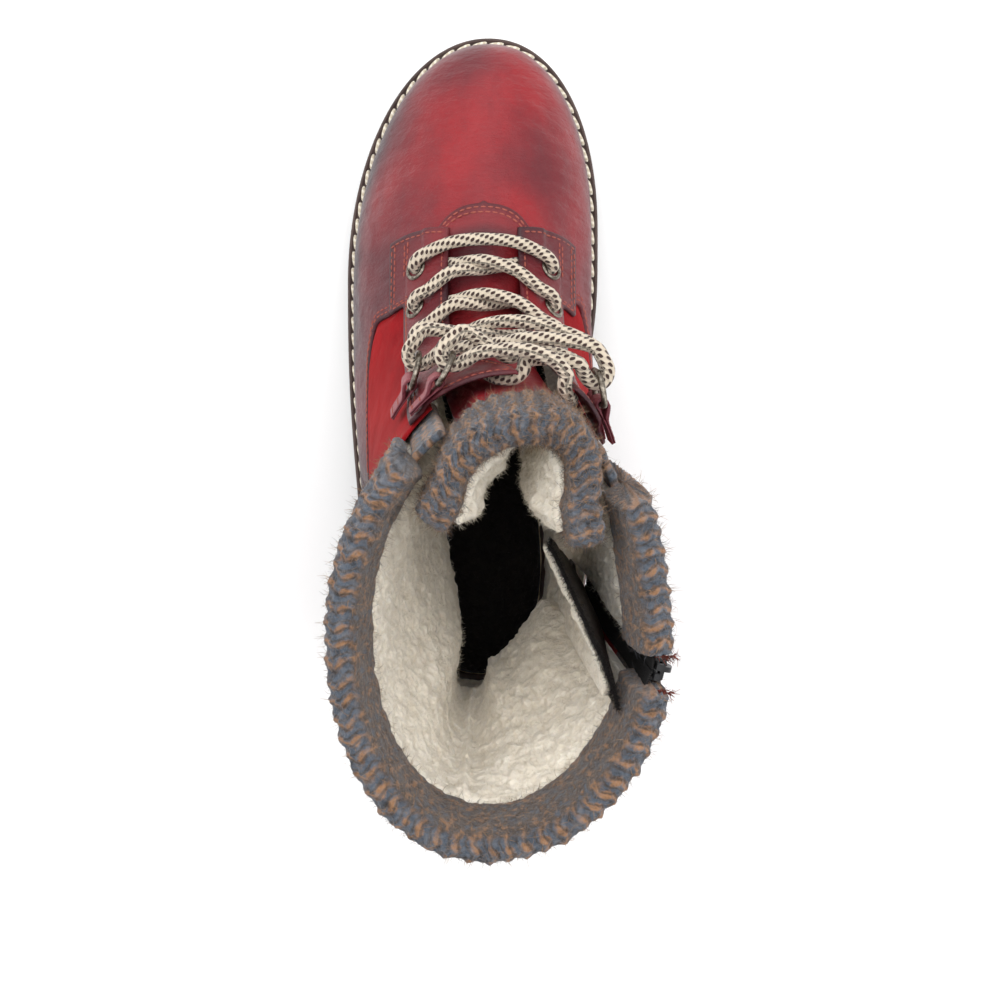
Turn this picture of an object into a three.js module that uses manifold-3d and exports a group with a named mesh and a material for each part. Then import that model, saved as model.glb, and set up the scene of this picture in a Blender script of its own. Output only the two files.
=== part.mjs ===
/**
 * Left winter ankle boot: stitched rubber sole, burnished leather foot, suede
 * shaft, knitted collar, fleece lining, side zip and a laced front.
 *
 * Millimetres. +Z is up from the ground, +Y points to the toe and +X to the
 * medial side, where the zip is. The origin lies on the ground under the foot.
 *
 * The upper is described once, as a smooth surface skin(phi, level, depth):
 * phi runs round the boot from the front centre (0) to the back (+-PI), with
 * the medial side positive; level runs from the welt (0) to the top line (9);
 * depth is the distance outward from the surface. Each leather, knit or fleece
 * piece is a closed shell between two depths over its own patch of the surface.
 */
import * as THREE from 'three';
import { mergeVertices } from 'three/addons/utils/BufferGeometryUtils.js';
import Module from 'manifold-3d';

const wasm = await Module();
wasm.setup();

// ---------------------------------------------------------------- dimensions
const LENGTH_SCALE = 1; // along the foot, 1 = size 37.5
const WIDTH_SCALE = 1; // across the foot
const GAP = 0.3; // running gap between neighbouring pieces
const TOP = 8.99; // level of the top line
const FOREFOOT_SOLE = 20; // ground to the top of the welt at the ball
const HEEL_RISE = 16; // how much higher the heel seat is
const TOE_SPRING = 8;
const ARCH_HEIGHT = 9;
const WELT_WIDTH = 7.3; // welt beyond the upper
const WELT_THICKNESS = 4.6;
const BOARD_THICKNESS = 2.2;
const FOOTBED_THICKNESS = 4.5;
const LINING = 4.3; // fleece thickness
const LEATHER = 1.3;
const LINING_OUT = -0.3; // depth of the outer face of the fleece
const STIFFENER = 0.7;
const BASE = 1.0; // depth of the inner face of the leather
const OVERLAY = 2.6; // depth of the inner face of stitched-on pieces
const STAY_LIFT = 4.5; // inner face of the eyelet stay over the lace
const STAY_TOP_LIFT = 3.7; // the same above the eyelets
const STAY_THICKNESS = 1.4;
const TONGUE_OUT = -1.4; // outer face of the tongue
const THROAT_LEVEL = 4.3; // where the vamp ends at the front centre
const STAY_INNER = 11.5; // from the front centre line to the edge of a stay
const STAY_OUTER = 33;
const KNIT_LEVEL = 7.3; // lower edge of the knitted collar
const KNIT_THICKNESS = 4.6;
const EYELET_ACROSS = 24;
const EYELET_LEVELS = [4.65, 5.22, 5.87];
const LACE_R = 2.08;
const EYELET_HOLE_R = LACE_R + 1.12;
const EYELET_FLANGE_R = EYELET_HOLE_R + 1.3;
const RING_ROWS = [
  { name: 'lower', lateral: 29, medial: 32, level: 6.68 },
  { name: 'upper', lateral: 22, medial: 25, level: 7.34 },
];
const RING_WIRE_R = 1.1;
const RING_HEIGHT = 15;
const RING_DEPTH = 10;
const RING_LIFT = 7.7; // depth of the ring's straight bar
const RING_ARC_LIFT = 12; // depth of the far side of the ring
const ZIP_TOP = new THREE.Vector3(49.5, -4, 207);
const ZIP_BOTTOM = new THREE.Vector3(36.6, 16, 72);
const ZIP_SLOT = 4.2; // half of the slot in the leather over the zip
const TAPE_HALF = 5.8;
const TEETH_HALF = 2.1;
const SLIDER_LENGTH = 10;
const ZIP_START = 15; // lower end of the tapes, up the zip axis

// ----------------------------------------------------------------- the upper
// Each station is a ring round the boot: front, medial, back and lateral
// points (x, y, height over the seat), then the roundness of the three
// quarters and how far the waist is drawn in.
const STATIONS = [
  [1, 230, 0, 40, 157, 0, 0, -32, 0, -51, 137, 0, 2.2, 2.0, 2.6, 10],
  [1, 227.5, 15, 40.8, 156, 12, 0, -34.5, 15, -51.8, 135, 11, 2.2, 2.0, 2.6, 10],
  [1, 219, 35, 40.6, 150, 26, 0, -36.5, 29, -51, 128, 23, 2.2, 2.0, 2.5, 8],
  [0.5, 192, 53, 39.5, 134, 37, -0.5, -35, 43, -48, 116, 34, 2.1, 2.0, 2.4, 4],
  [0, 158, 64, 37.5, 112, 46, -1, -32, 56, -44, 100, 44, 2.1, 2.0, 2.3, 1],
  [0, 126, 77, 36, 84, 57, -1, -31, 69, -41, 76, 53, 2.1, 2.0, 2.2, 0],
  [2, 103, 98, 37, 54, 74, -1, -34, 88, -38.5, 48, 72, 2.2, 2.0, 2.1, 0],
  [9, 87, 127, 40.5, 26, 107, 0, -41, 119, -37.5, 22, 106, 2.4, 2.0, 2.1, 0],
  [14, 78, 158, 44.5, 10, 144, 1, -48, 151, -37.5, 10, 144, 2.5, 2.0, 2.1, 0],
  [16, 71, 185, 48, 4, 176, 2, -53, 176, -38.5, 6, 176, 2.4, 2.0, 2.1, 0],
];

const smooth = (a, b, x) => {
  const t = Math.min(1, Math.max(0, (x - a) / (b - a)));
  return t * t * (3 - 2 * t);
};
const mix = (a, b, t) => a + (b - a) * t;
const rad = THREE.MathUtils.degToRad;

/** Height of the welt's top over the ground, y along the unscaled foot. */
function seat(y) {
  const spring = TOE_SPRING * Math.pow(Math.max(0, (y - 150) / 85), 2);
  return FOREFOOT_SOLE + HEEL_RISE * smooth(118, 18, y) + spring;
}

function station(level) {
  const last = STATIONS.length - 1;
  const v = Math.min(last, Math.max(0, level));
  const i = Math.min(last - 1, Math.floor(v));
  const t = v - i;
  const p1 = STATIONS[i];
  const p2 = STATIONS[i + 1];
  const p0 = i > 0 ? STATIONS[i - 1] : p1.map((a, k) => 2 * a - p2[k]);
  const p3 = i < last - 1 ? STATIONS[i + 2] : p2.map((a, k) => 2 * a - p1[k]);
  return p1.map((a, k) => {
    const m1 = 0.5 * (p2[k] - p0[k]);
    const m2 = 0.5 * (p3[k] - a);
    const c3 = 2 * a - 2 * p2[k] + m1 + m2;
    const c2 = 3 * p2[k] - 3 * a - 2 * m1 - m2;
    return ((c3 * t + c2) * t + m1) * t + a;
  });
}

/** A point of the plain surface, before the zip straightens its panel. */
function plain(phi, level) {
  const g = station(level);
  const si = Math.sin(phi);
  const co = Math.cos(phi);
  const A = co >= 0 ? g.slice(0, 3) : g.slice(6, 9);
  const B = si >= 0 ? g.slice(3, 6) : g.slice(9, 12);
  const p = co >= 0 ? (si >= 0 ? g[12] : g[13]) : g[14];
  const r = Math.pow(Math.pow(Math.abs(si), p) + Math.pow(Math.abs(co), p), -1 / p);
  const X = Math.abs(si) * r;
  const Y = Math.abs(co) * r;
  const waist = co >= 0 ? 0 : g[15] * Math.pow(Math.sin(Math.PI * Y), 4);
  const y = mix(B[1], A[1], Y);
  const x = mix(A[0], B[0], X) - (si >= 0 ? waist : -0.15 * waist);
  const z = seat(y) + mix(B[2], A[2], Y * Y);
  return new THREE.Vector3(x, y, z);
}

const zipSpan = ZIP_TOP.clone().sub(ZIP_BOTTOM);
const onZip = (z) => ZIP_BOTTOM.clone().addScaledVector(zipSpan, (z - ZIP_BOTTOM.z) / zipSpan.z);

/** Angle at which the zip crosses a level. */
function zipAngle(level) {
  let a = rad(50);
  let b = rad(150);
  for (let k = 0; k < 26; k += 1) {
    const mid = (a + b) / 2;
    const p = plain(mid, level);
    if (p.y > onZip(p.z).y) a = mid;
    else b = mid;
  }
  return (a + b) / 2;
}

const ZIP_TABLE = [];
for (let k = 0; k <= 24; k += 1) {
  const level = 3 + k / 4;
  const phi = zipAngle(level);
  const p = plain(phi, level);
  ZIP_TABLE.push({ phi, shift: (onZip(p.z).x - p.x) * smooth(3, 3.9, level) });
}

function zipRow(level) {
  const v = Math.min(23.999, Math.max(0, (level - 3) * 4));
  const i = Math.floor(v);
  const a = ZIP_TABLE[i];
  const b = ZIP_TABLE[i + 1];
  return { phi: mix(a.phi, b.phi, v - i), shift: mix(a.shift, b.shift, v - i) };
}

function surface(phi, level) {
  const p = plain(phi, level);
  if (level > 3 && phi > 0.3) {
    const z = zipRow(level);
    p.x += z.shift * Math.exp(-Math.pow((phi - z.phi) / 0.5, 2));
  }
  p.x *= WIDTH_SCALE;
  p.y *= LENGTH_SCALE;
  return p;
}

function wrap(phi) {
  return phi > Math.PI ? phi - 2 * Math.PI : phi < -Math.PI ? phi + 2 * Math.PI : phi;
}

/** Outward unit normal of the surface. */
function normal(phi, level) {
  const e = 0.004;
  const v = Math.min(TOP, Math.max(0.01, level));
  const a = surface(wrap(phi + e), v).sub(surface(wrap(phi - e), v));
  const b = surface(phi, Math.min(9, v + e)).sub(surface(phi, v - e));
  return b.cross(a).normalize();
}

/** A point at a depth outward from the surface. */
function skin(phi, level, depth) {
  const f = wrap(phi);
  const v = Math.min(TOP, Math.max(0.01, level));
  const p = surface(f, v).addScaledVector(normal(f, v), depth);
  p.z = Math.max(p.z, seat(p.y / LENGTH_SCALE) + 0.12);
  return p;
}

const ARCS = new Map();

/** Angle at a distance round the boot from the front centre line. */
function across(distance, level) {
  const side = distance < 0 ? -1 : 1;
  const key = `${side}:${level.toFixed(4)}`;
  if (!ARCS.has(key)) {
    const list = [0];
    let before = surface(0, level);
    for (let k = 1; k <= 120; k += 1) {
      const next = surface(side * rad(k), level);
      list.push(list[k - 1] + next.distanceTo(before));
      before = next;
    }
    ARCS.set(key, list);
  }
  const list = ARCS.get(key);
  const want = Math.abs(distance);
  let k = 1;
  while (k < 120 && list[k] < want) k += 1;
  const t = (want - list[k - 1]) / (list[k] - list[k - 1]);
  return side * rad(k - 1 + t);
}

/** Angle at a distance from the zip, forward negative and backward positive. */
function fromZip(distance, level) {
  const centre = zipRow(Math.max(3, level)).phi;
  const e = 0.02;
  const step = surface(centre + e, level).distanceTo(surface(centre - e, level));
  return centre + (distance * 2 * e) / step;
}

// ------------------------------------------------------------------- helpers
const group = new THREE.Group();
group.name = 'winter_boot';

function add(name, geometry, color, roughness, metalness = 0) {
  const material = new THREE.MeshStandardMaterial({ color, roughness, metalness });
  const mesh = new THREE.Mesh(geometry, material);
  mesh.name = name;
  group.add(mesh);
  return mesh;
}

function volume(points, index) {
  let sum = 0;
  const n = new THREE.Vector3();
  for (let k = 0; k < index.length; k += 3) {
    n.crossVectors(points[index[k + 1]], points[index[k + 2]]);
    sum += points[index[k]].dot(n);
  }
  return sum;
}

function toGeometry(points, index) {
  if (volume(points, index) < 0) {
    for (let k = 0; k < index.length; k += 3) {
      [index[k + 1], index[k + 2]] = [index[k + 2], index[k + 1]];
    }
  }
  const geometry = new THREE.BufferGeometry();
  geometry.setFromPoints(points);
  geometry.setIndex(index);
  return geometry;
}

/**
 * Closed shell over a patch of the boot. place(a, b) gives [phi, level] for a
 * round the boot and b up it, both 0 to 1; inner and outer give the depths.
 */
function shell(place, across_, up, inner, outer, ring = false) {
  const points = [];
  const cols = ring ? across_ : across_ + 1;
  for (const depth of [outer, inner]) {
    for (let j = 0; j <= up; j += 1) {
      for (let i = 0; i < cols; i += 1) {
        const [phi, level] = place(i / across_, j / up);
        const d = typeof depth === 'function' ? depth(phi, level, i / across_, j / up) : depth;
        points.push(skin(phi, level, d));
      }
    }
  }
  const index = [];
  const half = cols * (up + 1);
  const at = (i, j, side) => side * half + j * cols + (i % cols);
  const quad = (a, b, c, d) => index.push(a, b, c, a, c, d);
  for (let j = 0; j < up; j += 1) {
    for (let i = 0; i < across_; i += 1) {
      quad(at(i, j, 0), at(i + 1, j, 0), at(i + 1, j + 1, 0), at(i, j + 1, 0));
      quad(at(i, j, 1), at(i, j + 1, 1), at(i + 1, j + 1, 1), at(i + 1, j, 1));
    }
  }
  for (let i = 0; i < across_; i += 1) {
    quad(at(i, 0, 1), at(i + 1, 0, 1), at(i + 1, 0, 0), at(i, 0, 0));
    quad(at(i, up, 0), at(i + 1, up, 0), at(i + 1, up, 1), at(i, up, 1));
  }
  if (!ring) {
    for (let j = 0; j < up; j += 1) {
      quad(at(0, j, 0), at(0, j + 1, 0), at(0, j + 1, 1), at(0, j, 1));
      quad(at(across_, j, 1), at(across_, j + 1, 1), at(across_, j + 1, 0), at(across_, j, 0));
    }
  }
  return toGeometry(points, index);
}

function toSolid(geometry, matrix) {
  const g = geometry.clone();
  if (matrix) g.applyMatrix4(matrix);
  g.deleteAttribute('normal');
  g.deleteAttribute('uv');
  const merged = mergeVertices(g, 1e-3);
  return new wasm.Manifold(
    new wasm.Mesh({
      numProp: 3,
      vertProperties: new Float32Array(merged.attributes.position.array),
      triVerts: new Uint32Array(merged.index.array),
    }),
  );
}

function fromSolid(solid) {
  const mesh = solid.getMesh();
  const geometry = new THREE.BufferGeometry();
  geometry.setAttribute('position', new THREE.BufferAttribute(mesh.vertProperties, 3));
  geometry.setIndex(new THREE.BufferAttribute(mesh.triVerts, 1));
  return geometry;
}

/** Frame whose local x, y, z axes are the given world directions. */
function frame(origin, x, y, z) {
  return new THREE.Matrix4().makeBasis(x, y, z).setPosition(origin);
}

function extrude(shape, depth, curveSegments = 6) {
  return new THREE.ExtrudeGeometry(shape, { depth, bevelEnabled: false, curveSegments });
}

// ---------------------------------------------------------------------- sole
/** Plan outline of the sole, a distance outside the foot of the upper. */
function outline(offset, count = 56) {
  const points = [];
  for (let k = 0; k < count; k += 1) {
    const phi = -Math.PI + (2 * Math.PI * (k + 0.5)) / count;
    const n = normal(phi, 0.3).setZ(0).normalize();
    const p = surface(phi, 0).addScaledVector(n, offset);
    points.push(new THREE.Vector2(p.x, p.y));
  }
  return new THREE.Shape(points);
}

/** Slab between two height curves over y, as an extrusion along x. */
function slab(low, high, from = -60, to = 260, steps = 32) {
  const points = [];
  for (let k = 0; k <= steps; k += 1) {
    const y = mix(from, to, k / steps);
    points.push(new THREE.Vector2(y * LENGTH_SCALE, high(y)));
  }
  for (let k = steps; k >= 0; k -= 1) {
    const y = mix(from, to, k / steps);
    points.push(new THREE.Vector2(y * LENGTH_SCALE, low(y)));
  }
  const turn = frame(
    new THREE.Vector3(-80, 0, 0),
    new THREE.Vector3(0, 1, 0),
    new THREE.Vector3(0, 0, 1),
    new THREE.Vector3(1, 0, 0),
  );
  return toSolid(extrude(new THREE.Shape(points), 160), turn);
}

/** Plate of a given outline between two height curves. */
function plate(shape, low, high, steps = 32) {
  const block = toSolid(extrude(shape, 120), new THREE.Matrix4().makeTranslation(0, 0, -20));
  return block.intersect(slab(low, high, -60, 260, steps));
}

function boxSolid(x, y, z, sx, sy, sz, turn = 0) {
  const m = new THREE.Matrix4().makeRotationZ(turn).setPosition(x, y, z);
  return toSolid(new THREE.BoxGeometry(sx, sy, sz), m);
}

/** Underside of the outsole: heel block, arch, tread and toe spring. */
function ground(y) {
  const arch = ARCH_HEIGHT * smooth(34, 38, y) * (1 - smooth(58, 88, y));
  return arch + TOE_SPRING * Math.pow(Math.max(0, (y - 165) / 72), 2);
}

const weltTop = (y) => seat(y) - GAP;
const weltLow = (y) => weltTop(y) - WELT_THICKNESS;
let outsole = plate(outline(WELT_WIDTH - 1), ground, (y) => weltLow(y) - GAP, 64);
for (let k = 0; k < 9; k += 1) {
  const y = (98 + k * 13.5) * LENGTH_SCALE;
  for (const side of [-1, 1]) {
    outsole = outsole.subtract(boxSolid(side * 44, y, 0, 50, 4, 6 + TOE_SPRING * 0, side * 0.25));
  }
}
for (let k = 0; k < 4; k += 1) {
  for (const side of [-1, 1]) {
    const y = (-24 + k * 14) * LENGTH_SCALE;
    outsole = outsole.subtract(boxSolid(side * 36, y, 0, 46, 4, 6, side * 0.25));
  }
}
add('outsole', fromSolid(outsole), 0x3a2f2c, 0.75);

const POCKET = 3;
const pocketShape = outline(-16 * Math.min(1, WIDTH_SCALE), 48);
let welt = plate(outline(WELT_WIDTH), weltLow, weltTop, 44);
const pocketLow = (y) => weltTop(y) - POCKET;
welt = welt.subtract(plate(pocketShape, pocketLow, (y) => weltTop(y) + 5));
const stitchLine = outline(5.1, 60).getPoints();
add('welt', fromSolid(welt), 0x4a3833, 0.7);

const innerPocket = outline(-16.6, 48);
let filler = plate(innerPocket, (y) => pocketLow(y) + GAP, (y) => weltTop(y) - GAP);
const shankCut = boxSolid(0, 20 * LENGTH_SCALE, 30, 160, 156 * LENGTH_SCALE, 80);
filler = filler.subtract(shankCut);
add('sole_filler', fromSolid(filler), 0x8a6f52, 0.95);
const shankBar = boxSolid(0, 44 * LENGTH_SCALE, 30, 14, 98 * LENGTH_SCALE, 80);
const shankSlab = slab((y) => pocketLow(y) + 0.5, (y) => pocketLow(y) + 2.1);
add('shank', fromSolid(shankBar.intersect(shankSlab)), 0x8c9096, 0.35, 1);

const boardLow = (y) => seat(y);
const boardTop = (y) => seat(y) + BOARD_THICKNESS;
const insideEdge = LINING_OUT - LINING;
add('insole_board', fromSolid(plate(outline(insideEdge - 1.2, 56), boardLow, boardTop)), 0xb59a78, 0.95);
const footbed = plate(
  outline(insideEdge - 1.6, 56),
  (y) => boardTop(y) + GAP,
  (y) => boardTop(y) + GAP + FOOTBED_THICKNESS,
);
add('footbed', fromSolid(footbed), 0x1c1917, 0.98);

class Route extends THREE.CatmullRomCurve3 {
  getPointAt(u, target) {
    return this.getPoint(u, target);
  }
  getTangentAt(u, target) {
    return this.getTangent(u, target);
  }
  getSpacedPoints(count) {
    return this.getPoints(count);
  }
}

/** Round cord along points, with a step for each part of a control point. */
function cord(points, radius, sides, perPoint, closed = false) {
  const route = new Route(points, closed, 'centripetal');
  const section = new THREE.Shape();
  for (let k = 0; k < sides; k += 1) {
    const a = (2 * Math.PI * k) / sides;
    const method = k === 0 ? 'moveTo' : 'lineTo';
    section[method](radius * Math.cos(a), radius * Math.sin(a));
  }
  section.closePath();
  const steps = Math.round((closed ? points.length : points.length - 1) * perPoint);
  return new THREE.ExtrudeGeometry(section, { steps, extrudePath: route, bevelEnabled: false });
}

const seamPoints = stitchLine
  .slice(0, 60)
  .map((p) => new THREE.Vector3(p.x, p.y, seat(p.y / LENGTH_SCALE) + 0.9 + 0.1));
seamPoints.push(seamPoints[0].clone());
const SEAM_R = 0.9;
/** Ring swept along a closed line in the welt. */
function ringAlong(points, radius, sides) {
  const out = [];
  const count = points.length;
  for (let k = 0; k < count; k += 1) {
    const t = points[(k + 1) % count].clone().sub(points[(k + count - 1) % count]).normalize();
    const side = new THREE.Vector3(0, 0, 1).cross(t).normalize();
    const up = t.clone().cross(side);
    for (let j = 0; j < sides; j += 1) {
      const a = (2 * Math.PI * j) / sides;
      const p = points[k].clone().addScaledVector(side, radius * Math.cos(a));
      out.push(p.addScaledVector(up, radius * Math.sin(a)));
    }
  }
  const index = [];
  for (let k = 0; k < count; k += 1) {
    for (let j = 0; j < sides; j += 1) {
      const a = k * sides + j;
      const b = k * sides + ((j + 1) % sides);
      const c = ((k + 1) % count) * sides + ((j + 1) % sides);
      const d = ((k + 1) % count) * sides + j;
      index.push(a, b, c, a, c, d);
    }
  }
  return toGeometry(out, index);
}
seamPoints.pop();
add('welt_stitching', ringAlong(seamPoints, SEAM_R, 6), 0xd9cfb8, 0.9);

// -------------------------------------------------------------------- lining
const full = 2 * Math.PI;
const ringPlace = (low, high) => (a, b) => [-Math.PI + full * a, mix(low, high, b)];
const liningIn = (phi, level) => LINING_OUT - LINING * smooth(-0.4, 0.5, level);
add('lining_foot', shell(ringPlace(0.1, 3.8), 34, 7, liningIn, LINING_OUT - 0.2, true), 0xe6dcc6, 1);

/** Strip of the shaft between two edges, each a function of the level. */
const strip = (from, to, low, high) => (a, b) => {
  const level = mix(low, high, b);
  return [mix(from(level), to(level), a), level];
};
const stayEdge = STAY_OUTER - 4.5;
const lateralFront = (level) => across(-stayEdge, level);
const medialFront = (level) => across(stayEdge, level);
const zipFront = (half) => (level) => fromZip(-half, level);
const zipBack = (half) => (level) => fromZip(half, level);
const behind = (edge) => (level) => edge(level) + full;
const fleeceEdge = (level) => stayEdge + 14 * smooth(7.3, 7.9, level);
const fleeceLateral = (level) => across(-fleeceEdge(level), level);
const fleeceMedial = (level) => across(fleeceEdge(level), level);
const LINING_TOP = 8.3;
const SHAFT_LOW = 4.25;
const shaftIn = LINING_OUT - LINING;
add(
  'lining_shaft_rear',
  shell(strip(zipBack(TAPE_HALF + 1), behind(fleeceLateral), SHAFT_LOW, LINING_TOP), 26, 8, shaftIn, LINING_OUT),
  0xe6dcc6,
  1,
);
add(
  'lining_shaft_front',
  shell(strip(fleeceMedial, zipFront(TAPE_HALF + 1), SHAFT_LOW, LINING_TOP), 8, 8, shaftIn, LINING_OUT),
  0xe6dcc6,
  1,
);

// ------------------------------------------------------------ foot of leather
const vampTop = (phi) => {
  const a = Math.abs(phi);
  const wing = 0.38 * smooth(rad(27), rad(44), a) - 0.4 * smooth(rad(50), rad(74), a);
  return THROAT_LEVEL + wing - 1.2 * smooth(rad(100), rad(146), a);
};
const VAMP_END = rad(114);
const vampPlace = (a, b) => {
  const phi = mix(-VAMP_END, VAMP_END, a);
  return [phi, mix(0.03, vampTop(phi), b)];
};
add('vamp', shell(vampPlace, 30, 9, BASE, BASE + LEATHER), 0x8e2a30, 0.42);
const heelPlace = (a, b) => {
  const phi = mix(VAMP_END + 0.012, full - VAMP_END - 0.012, a);
  const near = Math.min(phi, full - phi);
  return [phi, mix(0.03, vampTop(near), b)];
};
add('heel_quarter', shell(heelPlace, 22, 5, BASE, BASE + LEATHER), 0x84262c, 0.45);
const puffPlace = (a, b) => [mix(rad(-50), rad(50), a), mix(0.564, 2.0, b)];
add('toe_puff', shell(puffPlace, 16, 4, -0.1, STIFFENER - 0.35), 0xcbbfa6, 0.9);
const counterPlace = (a, b) => [mix(rad(134), rad(226), a), mix(0.664, 2.7, b)];
add('heel_counter', shell(counterPlace, 14, 4, -0.1, STIFFENER - 0.25), 0xcbbfa6, 0.9);
const patchPlace = (a, b) => {
  const s = mix(-20.5, 20.5, a);
  const low = 4.1 + 0.3 * Math.pow(Math.abs(s) / 20.5, 2.4);
  const level = mix(low, 4.47, b);
  return [across(s, level), level];
};
add('throat_patch', shell(patchPlace, 14, 2, OVERLAY, OVERLAY + 1.1), 0x7e2127, 0.45);

// --------------------------------------------------------------------- shaft
const shaftTop = KNIT_LEVEL - 0.02;
/** Panel that starts on the vamp's edge and ends under the collar. */
const panel = (from, to) => (a, b) => {
  const probe = mix(from(4), to(4), a);
  const near = Math.abs(wrap(probe));
  const level = mix(vampTop(near) + 0.12, shaftTop, b);
  return [mix(from(level), to(level), a), level];
};
const SUEDE = 0xb3161d;
const backLine = () => Math.PI;
add(
  'suede_lateral',
  shell(panel(() => Math.PI + 0.008, behind(lateralFront)), 14, 7, BASE, BASE + LEATHER),
  SUEDE,
  0.95,
);
add('suede_medial_rear', shell(panel(zipBack(ZIP_SLOT), () => Math.PI - 0.008), 10, 8, BASE, BASE + LEATHER), SUEDE, 0.95);
add('suede_medial_front', shell(panel(medialFront, zipFront(ZIP_SLOT)), 8, 8, BASE, BASE + LEATHER), SUEDE, 0.95);
const backstayPlace = (a, b) => {
  const level = mix(3.0, 7.2, b);
  const half = mix(0.34, 0.2, smooth(3, 4.4, level));
  return [mix(Math.PI - half, Math.PI + half, a), level];
};
add('backstay', shell(backstayPlace, 6, 8, OVERLAY + 0.15, OVERLAY + LEATHER), 0x7e2127, 0.45);

/** Depth of a stay's inner face: flat on the panel outside, raised inside. */
const stayIn = (s, level) => {
  const raised = mix(STAY_LIFT, STAY_TOP_LIFT, smooth(6.1, 6.5, level));
  return mix(raised, OVERLAY, smooth(28.2, 31.5, Math.abs(s)));
};
const stayInnerEdge = (level, side) => STAY_INNER + (side < 0 ? -10.5 : 3.5) * smooth(6.4, 7.6, level);
const stayOuterEdge = (level) =>
  STAY_OUTER + 4 * smooth(6.2, 7.1, level) + 10 * (1 - smooth(4.7, 4.92, level));
const stayTop = (t) => 7.72 - 0.42 * t;

function eyeletFrame(s, level) {
  const phi = across(s, level);
  const n = normal(phi, level);
  const up = surface(phi, level + 0.02).sub(surface(phi, level - 0.02)).normalize();
  const side = up.clone().cross(n).normalize();
  const depth = stayIn(s, level) + STAY_THICKNESS;
  return frame(skin(phi, level, depth), side, n.clone().cross(side).normalize(), n);
}

function eyelet() {
  const t = STAY_THICKNESS;
  const profile = [
    [EYELET_HOLE_R, -t - 0.2],
    [EYELET_HOLE_R + 0.45, -t - 0.2],
    [EYELET_HOLE_R + 0.45, GAP],
    [EYELET_FLANGE_R, GAP],
    [EYELET_FLANGE_R - 0.1, 0.8],
    [EYELET_HOLE_R + 0.6, 1.05],
    [EYELET_HOLE_R, 0.7],
    [EYELET_HOLE_R, -t - 0.2],
  ];
  const points = profile.map(([x, y]) => new THREE.Vector2(x, y));
  return new THREE.LatheGeometry(points, 12).rotateX(Math.PI / 2);
}

for (const [sideName, side] of [['lateral', -1], ['medial', 1]]) {
  const place = (a, b) => {
    const level = mix(mix(4.27, 4.04, a), stayTop(a), b);
    const s = side * mix(stayInnerEdge(level, side), stayOuterEdge(level), a);
    return [across(s, level), level];
  };
  const inner = (phi, level, a) =>
    stayIn(mix(stayInnerEdge(level, side), stayOuterEdge(level), a), level);
  const outer = (phi, level, a) => inner(phi, level, a) + STAY_THICKNESS;
  let stay = toSolid(shell(place, 8, 12, inner, outer));
  EYELET_LEVELS.forEach((level, k) => {
    const m = eyeletFrame(side * EYELET_ACROSS, level);
    const hole = new THREE.CylinderGeometry(EYELET_HOLE_R + 0.9, EYELET_HOLE_R + 0.9, 8, 12);
    hole.rotateX(Math.PI / 2);
    stay = stay.subtract(toSolid(hole, m));
    add(`eyelet_${sideName}_${k + 1}`, eyelet().applyMatrix4(m), 0x5d564e, 0.4, 0.9);
  });
  add(`stay_${sideName}`, fromSolid(stay), 0x8a282e, 0.42);
}

// ------------------------------------------------------------------- D-rings
function ringFrame(side, row) {
  const s = side * (side < 0 ? row.lateral : row.medial);
  const phi = across(s, row.level);
  const n = normal(phi, row.level);
  const up = surface(phi, row.level + 0.02).sub(surface(phi, row.level - 0.02)).normalize();
  const centre = n.clone().cross(up).normalize().multiplyScalar(side < 0 ? -1 : 1);
  const inward = surface(across(s * 0.9, row.level), row.level).sub(surface(phi, row.level));
  if (centre.dot(inward) < 0) centre.negate();
  return { origin: skin(phi, row.level, RING_LIFT), centre, up, n };
}
const RING_TILT = Math.asin((RING_ARC_LIFT - RING_LIFT) / RING_DEPTH);

function ring() {
  const h = RING_HEIGHT / 2;
  const r = 2.2;
  const pts = [];
  for (let k = 0; k <= 12; k += 1) {
    const a = (Math.PI * k) / 12;
    const x = r + (RING_DEPTH - r) * Math.pow(Math.sin(a), 0.8);
    pts.push(new THREE.Vector3(x, -h * Math.cos(a), 0));
  }
  pts.push(new THREE.Vector3(0.55, h * 0.93, 0));
  pts.push(new THREE.Vector3(0, h * 0.75, 0));
  pts.push(new THREE.Vector3(0, 0, 0));
  pts.push(new THREE.Vector3(0, -h * 0.75, 0));
  pts.push(new THREE.Vector3(0.55, -h * 0.93, 0));
  return ringAlong(pts, RING_WIRE_R, 6);
}

function ringStrap() {
  const shape = new THREE.Shape();
  const R = RING_WIRE_R + 1.15;
  shape.moveTo(0, -R);
  shape.absarc(0, 0, R, -Math.PI / 2, Math.PI / 2, false);
  shape.quadraticCurveTo(-4, R, -6.5, R - 3.0);
  shape.lineTo(-13, R - 3.1);
  shape.lineTo(-13, -R);
  shape.closePath();
  const tunnel = new THREE.Path();
  tunnel.absarc(0, 0, RING_WIRE_R + 0.25, 0, Math.PI * 2, true);
  shape.holes.push(tunnel);
  const width = 8.6;
  const g = extrude(shape, width, 5);
  g.translate(0, 0, -width / 2);
  return g;
}

const ringMarks = {};
for (const [sideName, side] of [['lateral', -1], ['medial', 1]]) {
  for (const row of RING_ROWS) {
    const f = ringFrame(side, row);
    const strap = frame(f.origin, f.centre, f.n, f.centre.clone().cross(f.n));
    const tilted = f.centre.clone().multiplyScalar(Math.cos(RING_TILT));
    tilted.addScaledVector(f.n, Math.sin(RING_TILT));
    const flat = tilted.clone().cross(f.up).normalize();
    const m = frame(f.origin, tilted, f.up, flat);
    add(`d_ring_${sideName}_${row.name}`, ring().applyMatrix4(m), 0x5b5148, 0.35, 0.9);
    add(`ring_strap_${sideName}_${row.name}`, ringStrap().applyMatrix4(strap), 0x96424a, 0.6);
    ringMarks[`${sideName}_${row.name}`] = f;
  }
}

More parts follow.
